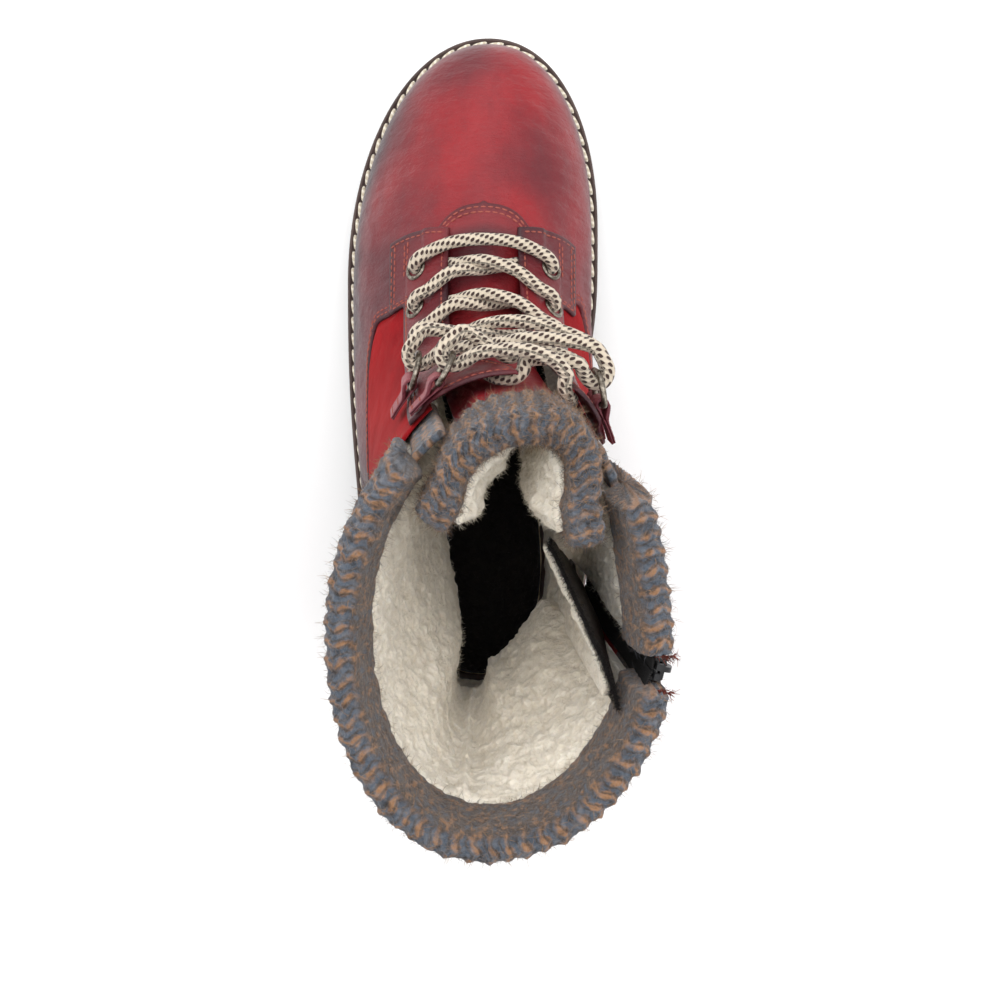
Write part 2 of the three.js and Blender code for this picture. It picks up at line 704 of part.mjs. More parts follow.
// -------------------------------------------------------------------- tongue
const TONGUE_HALF = 25.5;
const tonguePlace = (half, low, high) => (a, b) => {
  const level = mix(low, high, b);
  return [across(mix(-half, half, a), level), level];
};
/** The tongue's sides sink below the lining's edges, so that it can move inward. */
const sunk = (s) => 4.2 * smooth(13, 22.5, Math.abs(s));
const tongueAt = (half, depth) => (phi, level, a) => depth - sunk(half * (2 * a - 1));
add(
  'tongue_leather',
  shell(
    tonguePlace(TONGUE_HALF, 4.12, 7.86),
    14,
    9,
    tongueAt(TONGUE_HALF, TONGUE_OUT - 1.3),
    tongueAt(TONGUE_HALF, TONGUE_OUT),
  ),
  0x93242b,
  0.5,
);
const KNIT_HALF = 53;
const foldIn = (a) => {
  const s = KNIT_HALF * Math.abs(2 * a - 1);
  return 8.6 * Math.pow(Math.min(1, s / 41), 3.4) + 0.12 * Math.max(0, s - 41);
};
add(
  'tongue_knit',
  shell(
    tonguePlace(KNIT_HALF, 7.885, TOP),
    24,
    5,
    (phi, level, a, b) => TONGUE_OUT - 7 - foldIn(a) + 2.2 * smooth(0.8, 1, b),
    (phi, level, a, b) => TONGUE_OUT + 1.2 - foldIn(a) - 2.4 * smooth(0.8, 1, b),
  ),
  0x6b5d5a,
  1,
);
add(
  'tongue_lining',
  shell(
    tonguePlace(21, 4.3, 7.86),
    12,
    8,
    tongueAt(21, TONGUE_OUT - 4.6),
    tongueAt(21, TONGUE_OUT - 1.95),
  ),
  0xe6dcc6,
  1,
);

// -------------------------------------------------------------------- collar
const collarStart = (level) => across(-41, level) + full;
const collarFront = (level) => across(41, level);
const collarRows = [KNIT_LEVEL, 7.75, 8.2, 8.33, 8.36, 8.6, 8.82, 8.93, TOP];
const collarLevel = (b) => {
  const t = b * (collarRows.length - 1);
  const i = Math.min(collarRows.length - 2, Math.floor(t));
  return mix(collarRows[i], collarRows[i + 1], t - i);
};
/** The knit folds inward over the top line, but not where the zip tapes lie. */
const collarIn = (plainPart) => (phi, level, a) => {
  if (level < 8.345 || plainPart(a)) return BASE;
  return LINING_OUT - LINING + 2.4 * smooth(8.82, TOP, level);
};
const collarOut = (phi, level) =>
  BASE + KNIT_THICKNESS * mix(0.75, 1, smooth(KNIT_LEVEL, 8.1, level)) - 2.4 * smooth(8.82, TOP, level);
const collarPlace = (from, to) => (a, b) => {
  const level = collarLevel(b);
  return [mix(from(level), to(level), a), level];
};
add(
  'knit_collar_rear',
  shell(
    collarPlace(zipBack(ZIP_SLOT), collarStart),
    28,
    collarRows.length - 1,
    collarIn((a) => a < 0.05),
    collarOut,
  ),
  0x6b5d5a,
  1,
);
add(
  'knit_collar_front',
  shell(
    collarPlace(collarFront, zipFront(ZIP_SLOT)),
    7,
    collarRows.length - 1,
    collarIn((a) => a > 0.8),
    collarOut,
  ),
  0x6b5d5a,
  1,
);

// ----------------------------------------------------------------------- zip
const zipAxis = zipSpan.clone().multiply(new THREE.Vector3(WIDTH_SCALE, LENGTH_SCALE, 1));
const zipLength = zipAxis.length();
zipAxis.normalize();
const zipOrigin = new THREE.Vector3(ZIP_BOTTOM.x * WIDTH_SCALE, ZIP_BOTTOM.y * LENGTH_SCALE, ZIP_BOTTOM.z);
const zipNormal = normal(zipRow(6.5).phi, 6.5);
zipNormal.addScaledVector(zipAxis, -zipNormal.dot(zipAxis)).normalize();
const zipSide = zipNormal.clone().cross(zipAxis).normalize();
/** Local frame: x along the boot's side, y outward, z up the zip. */
const zipFrame = (along) => {
  const origin = zipOrigin.clone().addScaledVector(zipAxis, along);
  return frame(origin, zipSide, zipNormal, zipAxis);
};

function zipBar(points, from, to) {
  const shape = new THREE.Shape(points.map(([x, y]) => new THREE.Vector2(x, y)));
  return extrude(shape, to - from).applyMatrix4(zipFrame(from));
}
const zipEnd = zipLength - 1;
for (const [name, side] of [['rear', 1], ['front', -1]]) {
  const tape = [
    [side * 0.15, 0],
    [side * TAPE_HALF, -0.9],
    [side * TAPE_HALF, -0.3],
    [side * 0.15, 0.65],
  ];
  const teeth = [
    [side * 0.15, 0.95],
    [side * 1.2, 0.95],
    [side * 1.2, 1.75],
    [side * TEETH_HALF, 1.75],
    [side * TEETH_HALF, 3.1],
    [side * 0.15, 3.1],
  ];
  if (side < 0) {
    tape.reverse();
    teeth.reverse();
  }
  add(`zip_tape_${name}`, zipBar(tape, ZIP_START, zipEnd), 0x1d1b1b, 0.9);
  add(`zip_teeth_${name}`, zipBar(teeth, ZIP_START + 4, zipEnd - 1), 0x141414, 0.5);
}
const sliderShape = [
  [-3.4, 1.1],
  [-1.6, 1.1],
  [-1.6, 1.4],
  [-2.5, 1.4],
  [-2.5, 3.5],
  [2.5, 3.5],
  [2.5, 1.4],
  [1.6, 1.4],
  [1.6, 1.1],
  [3.4, 1.1],
  [3.4, 3.9],
  [2.7, 4.7],
  [-2.7, 4.7],
  [-3.4, 3.9],
];
const sliderLow = zipLength - 14;
let slider = toSolid(zipBar(sliderShape, sliderLow, sliderLow + SLIDER_LENGTH));
const bail = new THREE.Shape();
bail.moveTo(2, 0);
bail.lineTo(8, 0);
bail.lineTo(8, 1.6);
bail.quadraticCurveTo(7.6, 3.2, 5, 3.2);
bail.quadraticCurveTo(2.4, 3.2, 2, 1.6);
bail.closePath();
const bailHole = new THREE.Path();
bailHole.moveTo(3.4, 0.35);
bailHole.lineTo(3.4, 1.75);
bailHole.lineTo(6.6, 1.75);
bailHole.lineTo(6.6, 0.35);
bailHole.closePath();
bail.holes.push(bailHole);
const bailFrame = zipFrame(sliderLow).multiply(
  frame(
    new THREE.Vector3(-0.8, 4.5, 0),
    new THREE.Vector3(0, 0, 1),
    new THREE.Vector3(0, 1, 0),
    new THREE.Vector3(-1, 0, 0),
  ),
);
const bailSolid = toSolid(extrude(bail, 1.6).translate(0, 0, -1.6), bailFrame);
slider = slider.add(bailSolid);
add('zip_slider', fromSolid(slider), 0x1b1b1c, 0.4);

// The puller hangs from the bail: a small eye and a flat tab.
const pullPivot = new THREE.Vector3(0, 4.5 + 1.05, 5);
const tab = new THREE.Shape();
tab.moveTo(-2.6, 0.36);
tab.lineTo(2.6, 0.36);
tab.lineTo(3.1, -14);
tab.quadraticCurveTo(3, -17, 0, -17.4);
tab.quadraticCurveTo(-3, -17, -3.1, -14);
tab.closePath();
const eye = new THREE.Path();
eye.moveTo(-1.35, -0.36);
eye.lineTo(-1.35, -3.8);
eye.lineTo(1.35, -3.8);
eye.lineTo(1.35, -0.36);
eye.closePath();
tab.holes.push(eye);
const pull = extrude(tab, 0.76).translate(0, 0, -0.38);
const pullFrame = zipFrame(sliderLow).multiply(
  frame(
    pullPivot.clone(),
    new THREE.Vector3(-1, 0, 0),
    new THREE.Vector3(0, 0, 1),
    new THREE.Vector3(0, 1, 0),
  ),
);
add('zip_puller', pull.applyMatrix4(pullFrame), 0x1b1b1c, 0.4);
for (const [name, side] of [['rear', 1], ['front', -1]]) {
  const stop = new THREE.BoxGeometry(2, 1.8, 1.6);
  stop.translate(side * 1.5, 1.95, zipEnd + 0.2);
  add(`zip_top_stop_${name}`, stop.applyMatrix4(zipFrame(0)), 0x1b1b1c, 0.4);
}
const bottomStop = new THREE.BoxGeometry(4.4, 1.9, 2.2);
bottomStop.translate(0, 1.95, ZIP_START + 2.4);
add('zip_bottom_stop', bottomStop.applyMatrix4(zipFrame(0)), 0x1b1b1c, 0.4);
add(
  'zip_guard',
  shell(
    strip(zipFront(11), zipBack(14), 4.5, 8.75),
    5,
    9,
    LINING_OUT - LINING - 1.8,
    LINING_OUT - LINING - 0.6,
  ),
  0x2a2220,
  0.6,
);

// ---------------------------------------------------------------------- lace
/** A point over the front, across from the centre line. */
const over = (s, level, depth) => skin(across(s, level), level, depth);

/** Turn of the lace down through an eyelet and back under the stay. */
function throughEyelet(side, level) {
  const s = EYELET_ACROSS;
  const top = STAY_LIFT + STAY_THICKNESS;
  const list = [
    [s - 7.5, level - 0.03, top + 2.7],
    [s - 3.6, level - 0.01, top + 3.4],
    [s - 0.7, level, top + 1.9],
    [s - 0.1, level, top - 0.7],
    [s - 0.6, level + 0.01, STAY_LIFT - 1.3],
    [s - 3.2, level + 0.03, STAY_LIFT - 3.1],
    [s - 7, level + 0.05, STAY_LIFT - 3.0],
    [12.6, level + 0.08, STAY_LIFT - 2.9],
  ];
  return list.map(([a, v, d]) => over(side * a, v, d));
}

/** Turn of the lace through a D-ring, over its wire and back under it. */
function throughRing(name, side, row) {
  const f = ringMarks[name];
  const bar = f.origin.clone();
  bar.addScaledVector(f.centre, RING_DEPTH * Math.cos(RING_TILT));
  bar.addScaledVector(f.n, RING_DEPTH * Math.sin(RING_TILT));
  const turn = RING_WIRE_R + LACE_R + 0.75;
  const list = [
    [6.5, turn - 0.3, -3.2],
    [2.4, turn, -1.2],
    [-1.9, turn * 0.8, -0.4],
    [-turn, 0, 0],
    [-1.9, -turn * 0.8, 0.4],
    [2.2, -turn, 1.2],
    [6.5, -turn + 0.1, 3.2],
  ];
  return list.map(([c, n, u]) => {
    const p = bar.clone().addScaledVector(f.centre, c);
    return p.addScaledVector(f.n, n).addScaledVector(f.up, u);
  });
}

/** Crossing between the turn on one side and the next turn on the other. */
function crossing(side, from, to, depths) {
  const [d1, d2, d3] = depths;
  const at = (t) => mix(from, to, t);
  return [
    over(side * (depths[3] ?? 8.6), at(0.25), d1),
    over(0, at(0.5), d2),
    over(-side * (depths[4] ?? 9), at(0.75), d3),
  ];
}

function halfLace(start) {
  let side = start;
  const sideName = () => (side < 0 ? 'lateral' : 'medial');
  const points = [];
  points.push(...throughEyelet(side, EYELET_LEVELS[0]));
  for (let k = 0; k < 2; k += 1) {
    const depths = side < 0 ? [3.6, 7.8, 8.8] : [2.4, 3.1, 8.3];
    points.push(...crossing(side, EYELET_LEVELS[k] + 0.04, EYELET_LEVELS[k + 1] - 0.04, depths));
    side = -side;
    points.push(...throughEyelet(side, EYELET_LEVELS[k + 1]));
  }
  let from = EYELET_LEVELS[2];
  RING_ROWS.forEach((row, k) => {
    const first = side < 0 ? [3.6, 8.6, 12.2] : [2.4, 3.8, 9.2];
    const second = side < 0 ? [8.8, 10.4, 12.6, 5, 5] : [7.4, 5.2, 9.6, 5, 5];
    points.push(...crossing(side, from + 0.06, row.level - 0.08, k === 0 ? first : second));
    side = -side;
    points.push(...throughRing(`${sideName()}_${row.name}`, side, row));
    from = row.level + 0.08;
  });
  // The end crosses once more and is tucked in under the opposite stay.
  const tuck =
    side > 0
      ? [
          [5, 7.42, 7.6],
          [2.2, 7.44, 6.2],
          [1.6, 7.46, 3.8],
          [-0.6, 7.46, 1.4],
          [-5, 7.38, 1.1],
          [-7.5, 7.12, 1.05],
        ]
      : [
          [3, 7.52, 10.8],
          [-3, 7.62, 10.4],
          [-8.5, 7.62, 8.6],
          [-12, 7.6, 6],
          [-12.6, 7.58, 3.6],
          [-14.8, 7.55, 1.4],
          [-18.5, 7.42, 1.1],
          [-21, 7.15, 1.05],
        ];
  points.push(...tuck.map(([a, v, d]) => over(side * a, v, d)));
  return points;
}

const right = halfLace(1);
const left = halfLace(-1);
const barLevel = EYELET_LEVELS[0] - 0.03;
const bar = [over(9, barLevel, 8.5), over(0, barLevel, 7.6), over(-9, barLevel, 8.5)];
const laceLine = [...right.slice().reverse(), ...bar, ...left];
add('lace', cord(laceLine, LACE_R, 7, 1.6), 0xe4dccb, 0.9);
for (const [name, line] of [['lateral', right], ['medial', left]]) {
  const tip = line[line.length - 1];
  const dir = tip.clone().sub(line[line.length - 2]).normalize();
  const aglet = new THREE.CylinderGeometry(1.5, 1.5, 9, 12);
  const turn = new THREE.Quaternion().setFromUnitVectors(new THREE.Vector3(0, 1, 0), dir);
  aglet.applyQuaternion(turn);
  const centre = tip.clone().addScaledVector(dir, 4.5 + GAP);
  aglet.translate(centre.x, centre.y, centre.z);
  add(`aglet_${name === 'lateral' ? 1 : 2}`, aglet, 0x3b3634, 0.4);
}

export default group;
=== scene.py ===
"""Left winter ankle boot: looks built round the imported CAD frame.

The upper is one smooth surface with two parameters, the angle round the boot
and the level up it. Leather, knit, fleece and lace are grids on it.
"""

import logging
from collections.abc import Callable
from dataclasses import dataclass, field
from enum import Enum

import bmesh
import bpy
import numpy as np
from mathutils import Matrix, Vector

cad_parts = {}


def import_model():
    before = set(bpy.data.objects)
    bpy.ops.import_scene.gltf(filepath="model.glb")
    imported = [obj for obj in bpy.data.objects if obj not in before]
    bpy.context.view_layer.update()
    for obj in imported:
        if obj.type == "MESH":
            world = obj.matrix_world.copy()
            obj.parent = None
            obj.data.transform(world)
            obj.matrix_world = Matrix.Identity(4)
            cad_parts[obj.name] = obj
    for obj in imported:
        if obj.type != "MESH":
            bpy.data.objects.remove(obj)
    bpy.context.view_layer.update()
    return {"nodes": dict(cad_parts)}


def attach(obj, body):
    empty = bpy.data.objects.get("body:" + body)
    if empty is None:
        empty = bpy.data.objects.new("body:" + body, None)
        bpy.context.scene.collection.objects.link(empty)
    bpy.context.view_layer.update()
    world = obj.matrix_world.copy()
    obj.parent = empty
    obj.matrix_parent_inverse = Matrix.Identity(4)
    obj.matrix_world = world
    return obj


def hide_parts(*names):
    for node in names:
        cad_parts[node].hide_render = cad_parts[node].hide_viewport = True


Array = np.ndarray
Numbers = Array | float
Curve = Callable[[Array], Array]
Relief = Callable[[Array, Array, Array], Array]
Socket = bpy.types.NodeSocket

log = logging.getLogger("boot")
MM = 1e-3
TAU = 2 * np.pi
# Sizes are in mm, and levels run from 0 at the welt to 9 at the collar's top.
TOP = 8.99
GAP = 0.3
BASE = 1.0
LEATHER = 1.3
OVERLAY = 2.6
LINING_OUT = -0.3
LINING = 4.3
TONGUE_OUT = -1.4
STAY_LIFT = 4.5
STAY_TOP_LIFT = 3.7
STAY_THICKNESS = 1.4
ZIP_SLOT = 4.2
EYELET_ACROSS = 24.0
EYELET_LEVELS = (4.65, 5.22, 5.87)
EYELET_R = 3.0
STAY_FOOT, STAY_FOOT_FALL = 4.34, 0.49
STAY_HEAD, STAY_HEAD_FALL = 7.72, 0.42
SEAM_PROUD = 0.02
VAMP_END = float(np.radians(114))
VAMP_GAP = 0.002
BACK_GAP = 0.008
THROAT_LEVEL, THROAT_RISE = 4.1, 0.33
FRONT_EDGE = 28.5
COLLAR_EDGE = 41.0
TONGUE_REACH = 53.0
GUARD_FOOT = 4.5
STRAP_BEND = 88.0
STRAP_FOLD = 3.1
RING_ROWS = (("lower", 29.0, 32.0, 6.68), ("upper", 22.0, 25.0, 7.34))
RING_WIRE_R = 1.1
RING_HEIGHT = 15.0
RING_DEPTH = 10.0
RING_LIFT = 7.7
RING_ARC_LIFT = 12.0
RING_TILT = float(np.arcsin((RING_ARC_LIFT - RING_LIFT) / RING_DEPTH))
LACE_CAD_R = 2.08
ZIP_TOP = np.array([49.5, -4.0, 207.0])
ZIP_BOTTOM = np.array([36.6, 16.0, 72.0])
ZIP_START = 15.0
STATIONS = np.array([
    [1, 230, 0, 40, 157, 0, 0, -32, 0, -51, 137, 0, 2.2, 2.0, 2.6, 10],
    [1, 227.5, 15, 40.8, 156, 12, 0, -34.5, 15, -51.8, 135, 11, 2.2, 2.0, 2.6, 10],
    [1, 219, 35, 40.6, 150, 26, 0, -36.5, 29, -51, 128, 23, 2.2, 2.0, 2.5, 8],
    [0.5, 192, 53, 39.5, 134, 37, -0.5, -35, 43, -48, 116, 34, 2.1, 2.0, 2.4, 4],
    [0, 158, 64, 37.5, 112, 46, -1, -32, 56, -44, 100, 44, 2.1, 2.0, 2.3, 1],
    [0, 126, 77, 36, 84, 57, -1, -31, 69, -41, 76, 53, 2.1, 2.0, 2.2, 0],
    [2, 103, 98, 37, 54, 74, -1, -34, 88, -38.5, 48, 72, 2.2, 2.0, 2.1, 0],
    [9, 87, 127, 40.5, 26, 107, 0, -41, 119, -37.5, 22, 106, 2.4, 2.0, 2.1, 0],
    [14, 78, 158, 44.5, 10, 144, 1, -48, 151, -37.5, 10, 144, 2.5, 2.0, 2.1, 0],
    [16, 71, 185, 48, 4, 176, 2, -53, 176, -38.5, 6, 176, 2.4, 2.0, 2.1, 0],
])
# Section of the outsole's wall: offset outward and share of the height.
TREAD_WALL = np.array(
    [
        [4.6, 0], [5.7, 0.015], [6.1, 0.05], [6.3, 0.12], [6.2, 0.5], [6.25, 0.8], [5.7, 0.83],
        [5.7, 0.89], [6.3, 0.92], [6.3, 0.97], [6.0, 1.0]
    ]
)
# Section of the welt: bottom, rounded outer edge, a shallow channel for the thread, top.
WELT_SECTION = np.array(
    [
        [-6, -4.6], [0, -4.6], [6.7, -4.6], [7.15, -4.4], [7.3, -4.0], [7.3, -2.5], [7.05, -2.3],
        [7.05, -2.0], [7.3, -1.8], [7.3, -0.5], [7.15, -0.12], [6.75, 0.0], [6.3, 0.02],
        [6.0, -0.25], [5.7, -0.6], [3.9, -0.65], [3.3, -0.35], [2.6, -0.1], [0, 0], [-6, 0]
    ]
)
# Section of the tongue's knit top: level, depth and rise.
TONGUE_SECTION = np.array(
    [
        [7.885, -0.5, 0], [8.3, -0.2, 0], [8.75, -0.2, 0], [8.97, -0.8, 0], [TOP, -2.0, 1.6],
        [TOP, -4.6, 2.7], [TOP, -7.4, 2.3], [TOP, -9.6, 1.0], [8.93, -10.9, 0], [8.6, -11.4, 0],
        [8.2, -11, 0], [7.9, -9.5, 0], [7.88, -5.0, 0]
    ]
)
# Section of the collar: level, depth and rise.
COLLAR_SECTION = np.array(
    [
        [7.3, 1.05, 0], [7.31, 3.6, 0], [7.55, 4.7, 0], [8.1, 5.5, 0], [8.6, 5.6, 0], [8.9, 5.3, 0],
        [TOP, 4.3, 0.3], [TOP, 3.0, 1.8], [TOP, 1.2, 2.5], [TOP, -0.8, 2.3], [TOP, -2.8, 1.3],
        [8.97, -4.2, 0], [8.8, -5.1, 0], [8.55, -5.9, 0], [8.37, -5.8, 0], [8.35, -3.0, 0],
        [8.34, 0.8, 0], [7.8, 1.05, 0]
    ]
)
# Section of a zip tape: distance from the middle and height.
TAPE_SECTION = np.array(
    [
        [0.15, 0], [1.5, -0.24], [3.0, -0.48], [4.6, -0.72], [5.6, -0.86], [5.8, -0.6],
        [5.6, -0.28], [4.4, -0.08], [3.0, 0.18], [1.5, 0.4], [0.2, 0.62]
    ]
)


def smooth(a: float, b: float, x: Array) -> Array:
    """Smooth step from 0 at a to 1 at b."""
    t = np.clip((x - a) / (b - a), 0, 1)
    return t * t * (3 - 2 * t)


def unit(v: Array) -> Array:
    """Vectors over their own lengths."""
    return v / np.maximum(np.linalg.norm(v, axis=-1, keepdims=True), 1e-12)


def run(path: Array) -> Array:
    """Running length at each point of a path."""
    return np.r_[0, np.cumsum(np.linalg.norm(np.diff(path, axis=0), axis=1))]


def sampled(t: Array, s: Array, values: Array) -> Array:
    """Rows of values read at lengths t, where s is the length at each row."""
    return np.stack([np.interp(t, s, values[:, k]) for k in range(3)], -1)


def seat(y: Array) -> Array:
    """Height of the welt's top over the ground, in mm."""
    return 20 + 16 * smooth(118, 18, y) + 8 * (np.maximum(0, y - 150) / 85) ** 2


class Ripple:
    """Smooth seeded noise: a sum of sine waves in random directions."""

    def __init__(self, wavelength: float, seed: int, waves: int = 14) -> None:
        """Draws the waves. Args: wavelength in mm, seed, and how many waves."""
        r = np.random.default_rng(seed)
        d = unit(r.normal(size=(waves, 3)))
        self.k = d * (TAU / (wavelength * r.uniform(0.6, 1.7, (waves, 1))))
        self.p = r.uniform(0, TAU, waves)

    def __call__(self, points: Array) -> Array:
        """Value at each point, about -1 to 1."""
        return np.sin(points @ self.k.T + self.p).sum(-1) / np.sqrt(len(self.p) / 2) * 0.6


class BootForm:
    """The surface of the upper: point, normal and distances on it, in mm."""

    def __init__(self) -> None:
        """Tabulates the zip's line and the distances round the front."""
        self.span = ZIP_TOP - ZIP_BOTTOM
        self.levels = np.arange(3, 9.001, 0.25)
        low, high = np.full(25, np.radians(50)), np.full(25, np.radians(150))
        for _ in range(26):
            mid = (low + high) / 2
            p = self.plain(mid, self.levels)
            ahead = p[:, 1] > self.on_zip(p[:, 2])[:, 1]
            low, high = np.where(ahead, mid, low), np.where(ahead, high, mid)
        self.zip_phi = (low + high) / 2
        p = self.plain(self.zip_phi, self.levels)
        self.zip_shift = (self.on_zip(p[:, 2])[:, 0] - p[:, 0]) * smooth(3, 3.9, self.levels)
        self.rows = np.linspace(0.01, TOP, 241)
        self.dist = np.arange(-90, 90.01, 0.5)
        angles = np.radians(np.arange(0, 121.0))
        table = []
        for level in self.rows:
            sides = []
            for side in (-1, 1):
                q = self.surface(side * angles, np.full(121, level))
                arc = run(q)
                sides.append(side * np.interp(np.abs(self.dist), arc, angles))
            table.append(np.where(self.dist < 0, sides[0], sides[1]))
        self.table = np.array(table)

    def on_zip(self, z: Array) -> Array:
        """Point of the zip's straight line at a height."""
        t = (z - ZIP_BOTTOM[2]) / self.span[2]
        return ZIP_BOTTOM + t[..., None] * self.span

    @staticmethod
    def stations(level: Array) -> Array:
        """Ring values at each level, by a Catmull-Rom curve through the stations."""
        last = len(STATIONS) - 1
        v = np.clip(level, 0, last)
        i = np.minimum(v.astype(int), last - 1)
        t = (v - i)[..., None]
        p = np.vstack([2 * STATIONS[0] - STATIONS[1], STATIONS, 2 * STATIONS[-1] - STATIONS[-2]])
        p0, p1, p2, p3 = p[i], p[i + 1], p[i + 2], p[i + 3]
        m1, m2 = 0.5 * (p2 - p0), 0.5 * (p3 - p1)
        return (((2 * p1 - 2 * p2 + m1 + m2) * t + 3 * p2 - 3 * p1 - 2 * m1 - m2) * t + m1) * t + p1

    def plain(self, phi: Array, level: Array) -> Array:
        """Point before the zip straightens its panel: superellipse quarters on each ring."""
        phi, level = np.broadcast_arrays(phi, level)
        g = self.stations(level)
        si, co = np.sin(phi), np.cos(phi)
        front, med = (co >= 0)[..., None], (si >= 0)[..., None]
        a = np.where(front, g[..., 0:3], g[..., 6:9])
        b = np.where(med, g[..., 3:6], g[..., 9:12])
        p = np.where(co >= 0, np.where(si >= 0, g[..., 12], g[..., 13]), g[..., 14])
        r = (np.abs(si) ** p + np.abs(co) ** p) ** (-1 / p)
        x_, y_ = np.abs(si) * r, np.abs(co) * r
        waist = np.where(co >= 0, 0, g[..., 15] * np.sin(np.pi * y_) ** 4)
        y = b[..., 1] + (a[..., 1] - b[..., 1]) * y_
        x = a[..., 0] + (b[..., 0] - a[..., 0]) * x_ - np.where(si >= 0, waist, -0.15 * waist)
        z = seat(y) + b[..., 2] + (a[..., 2] - b[..., 2]) * y_ * y_
        return np.stack([x, y, z], -1)

    def surface(self, phi: Array, level: Array) -> Array:
        """Point of the surface, with the zip's panel pulled onto the zip's line."""
        phi, level = np.broadcast_arrays(phi, level)
        phi = (phi + np.pi) % TAU - np.pi
        p = self.plain(phi, level)
        centre = np.interp(level, self.levels, self.zip_phi)
        shift = np.interp(level, self.levels, self.zip_shift, left=0)
        near = np.exp(-(((phi - centre) / 0.5) ** 2)) * (level > 3) * (phi > 0.3)
        p[..., 0] += shift * near
        return p

    def frame(self, phi: Array, level: Array) -> tuple[Array, Array, Array]:
        """Point, outward normal and upward tangent."""
        e = 0.004
        phi, level = np.broadcast_arrays(np.asarray(phi, float), np.asarray(level, float))
        v = np.clip(level, 0.01, TOP)
        a = self.surface(phi + e, v) - self.surface(phi - e, v)
        b = self.surface(phi, np.minimum(9, v + e)) - self.surface(phi, v - e)
        return self.surface(phi, v), unit(np.cross(b, a)), unit(b)

    def skin(self, phi: Array, level: Array, depth: Array, rise: Numbers = 0.0) -> Array:
        """Point at a depth outward from the surface and a rise along it.

        Args:
            phi: angle round the boot.
            level: level up the boot.
            depth: distance outward in mm.
            rise: distance up along the surface in mm.

        Returns:
            Points in mm.
        """
        p, n, up = self.frame(phi, level)
        shape = np.broadcast_shapes(p.shape[:-1], np.shape(depth), np.shape(rise))
        d = np.broadcast_to(depth, shape)[..., None]
        h = np.broadcast_to(rise, shape)[..., None]
        q = p + n * d + up * h
        q[..., 2] = np.maximum(q[..., 2], seat(q[..., 1]) + 0.1)
        return q

    def across(self, s: Array, level: Array) -> Array:
        """Angle at a distance round from the front centre line."""
        s, level = np.broadcast_arrays(np.asarray(s, float), np.asarray(level, float))
        i = np.clip((np.clip(level, 0.01, TOP) - 0.01) / (TOP - 0.01) * 240, 0, 239.999)
        j = np.clip((s + 90) / 0.5, 0, len(self.dist) - 1.001)
        i0, j0 = i.astype(int), j.astype(int)
        a, b = i - i0, j - j0
        t = self.table
        low = t[i0, j0] * (1 - b) + t[i0, j0 + 1] * b
        return low * (1 - a) + (t[i0 + 1, j0] * (1 - b) + t[i0 + 1, j0 + 1] * b) * a

    def from_zip(self, s: Array, level: Array) -> Array:
        """Angle at a distance from the zip, forward negative."""
        level = np.asarray(level, float)
        centre = np.interp(level, self.levels, self.zip_phi)
        step = np.linalg.norm(
            self.surface(centre + 0.02, level) - self.surface(centre - 0.02, level), axis=-1
        )
        return centre + s * 0.04 / step


FORM = BootForm()


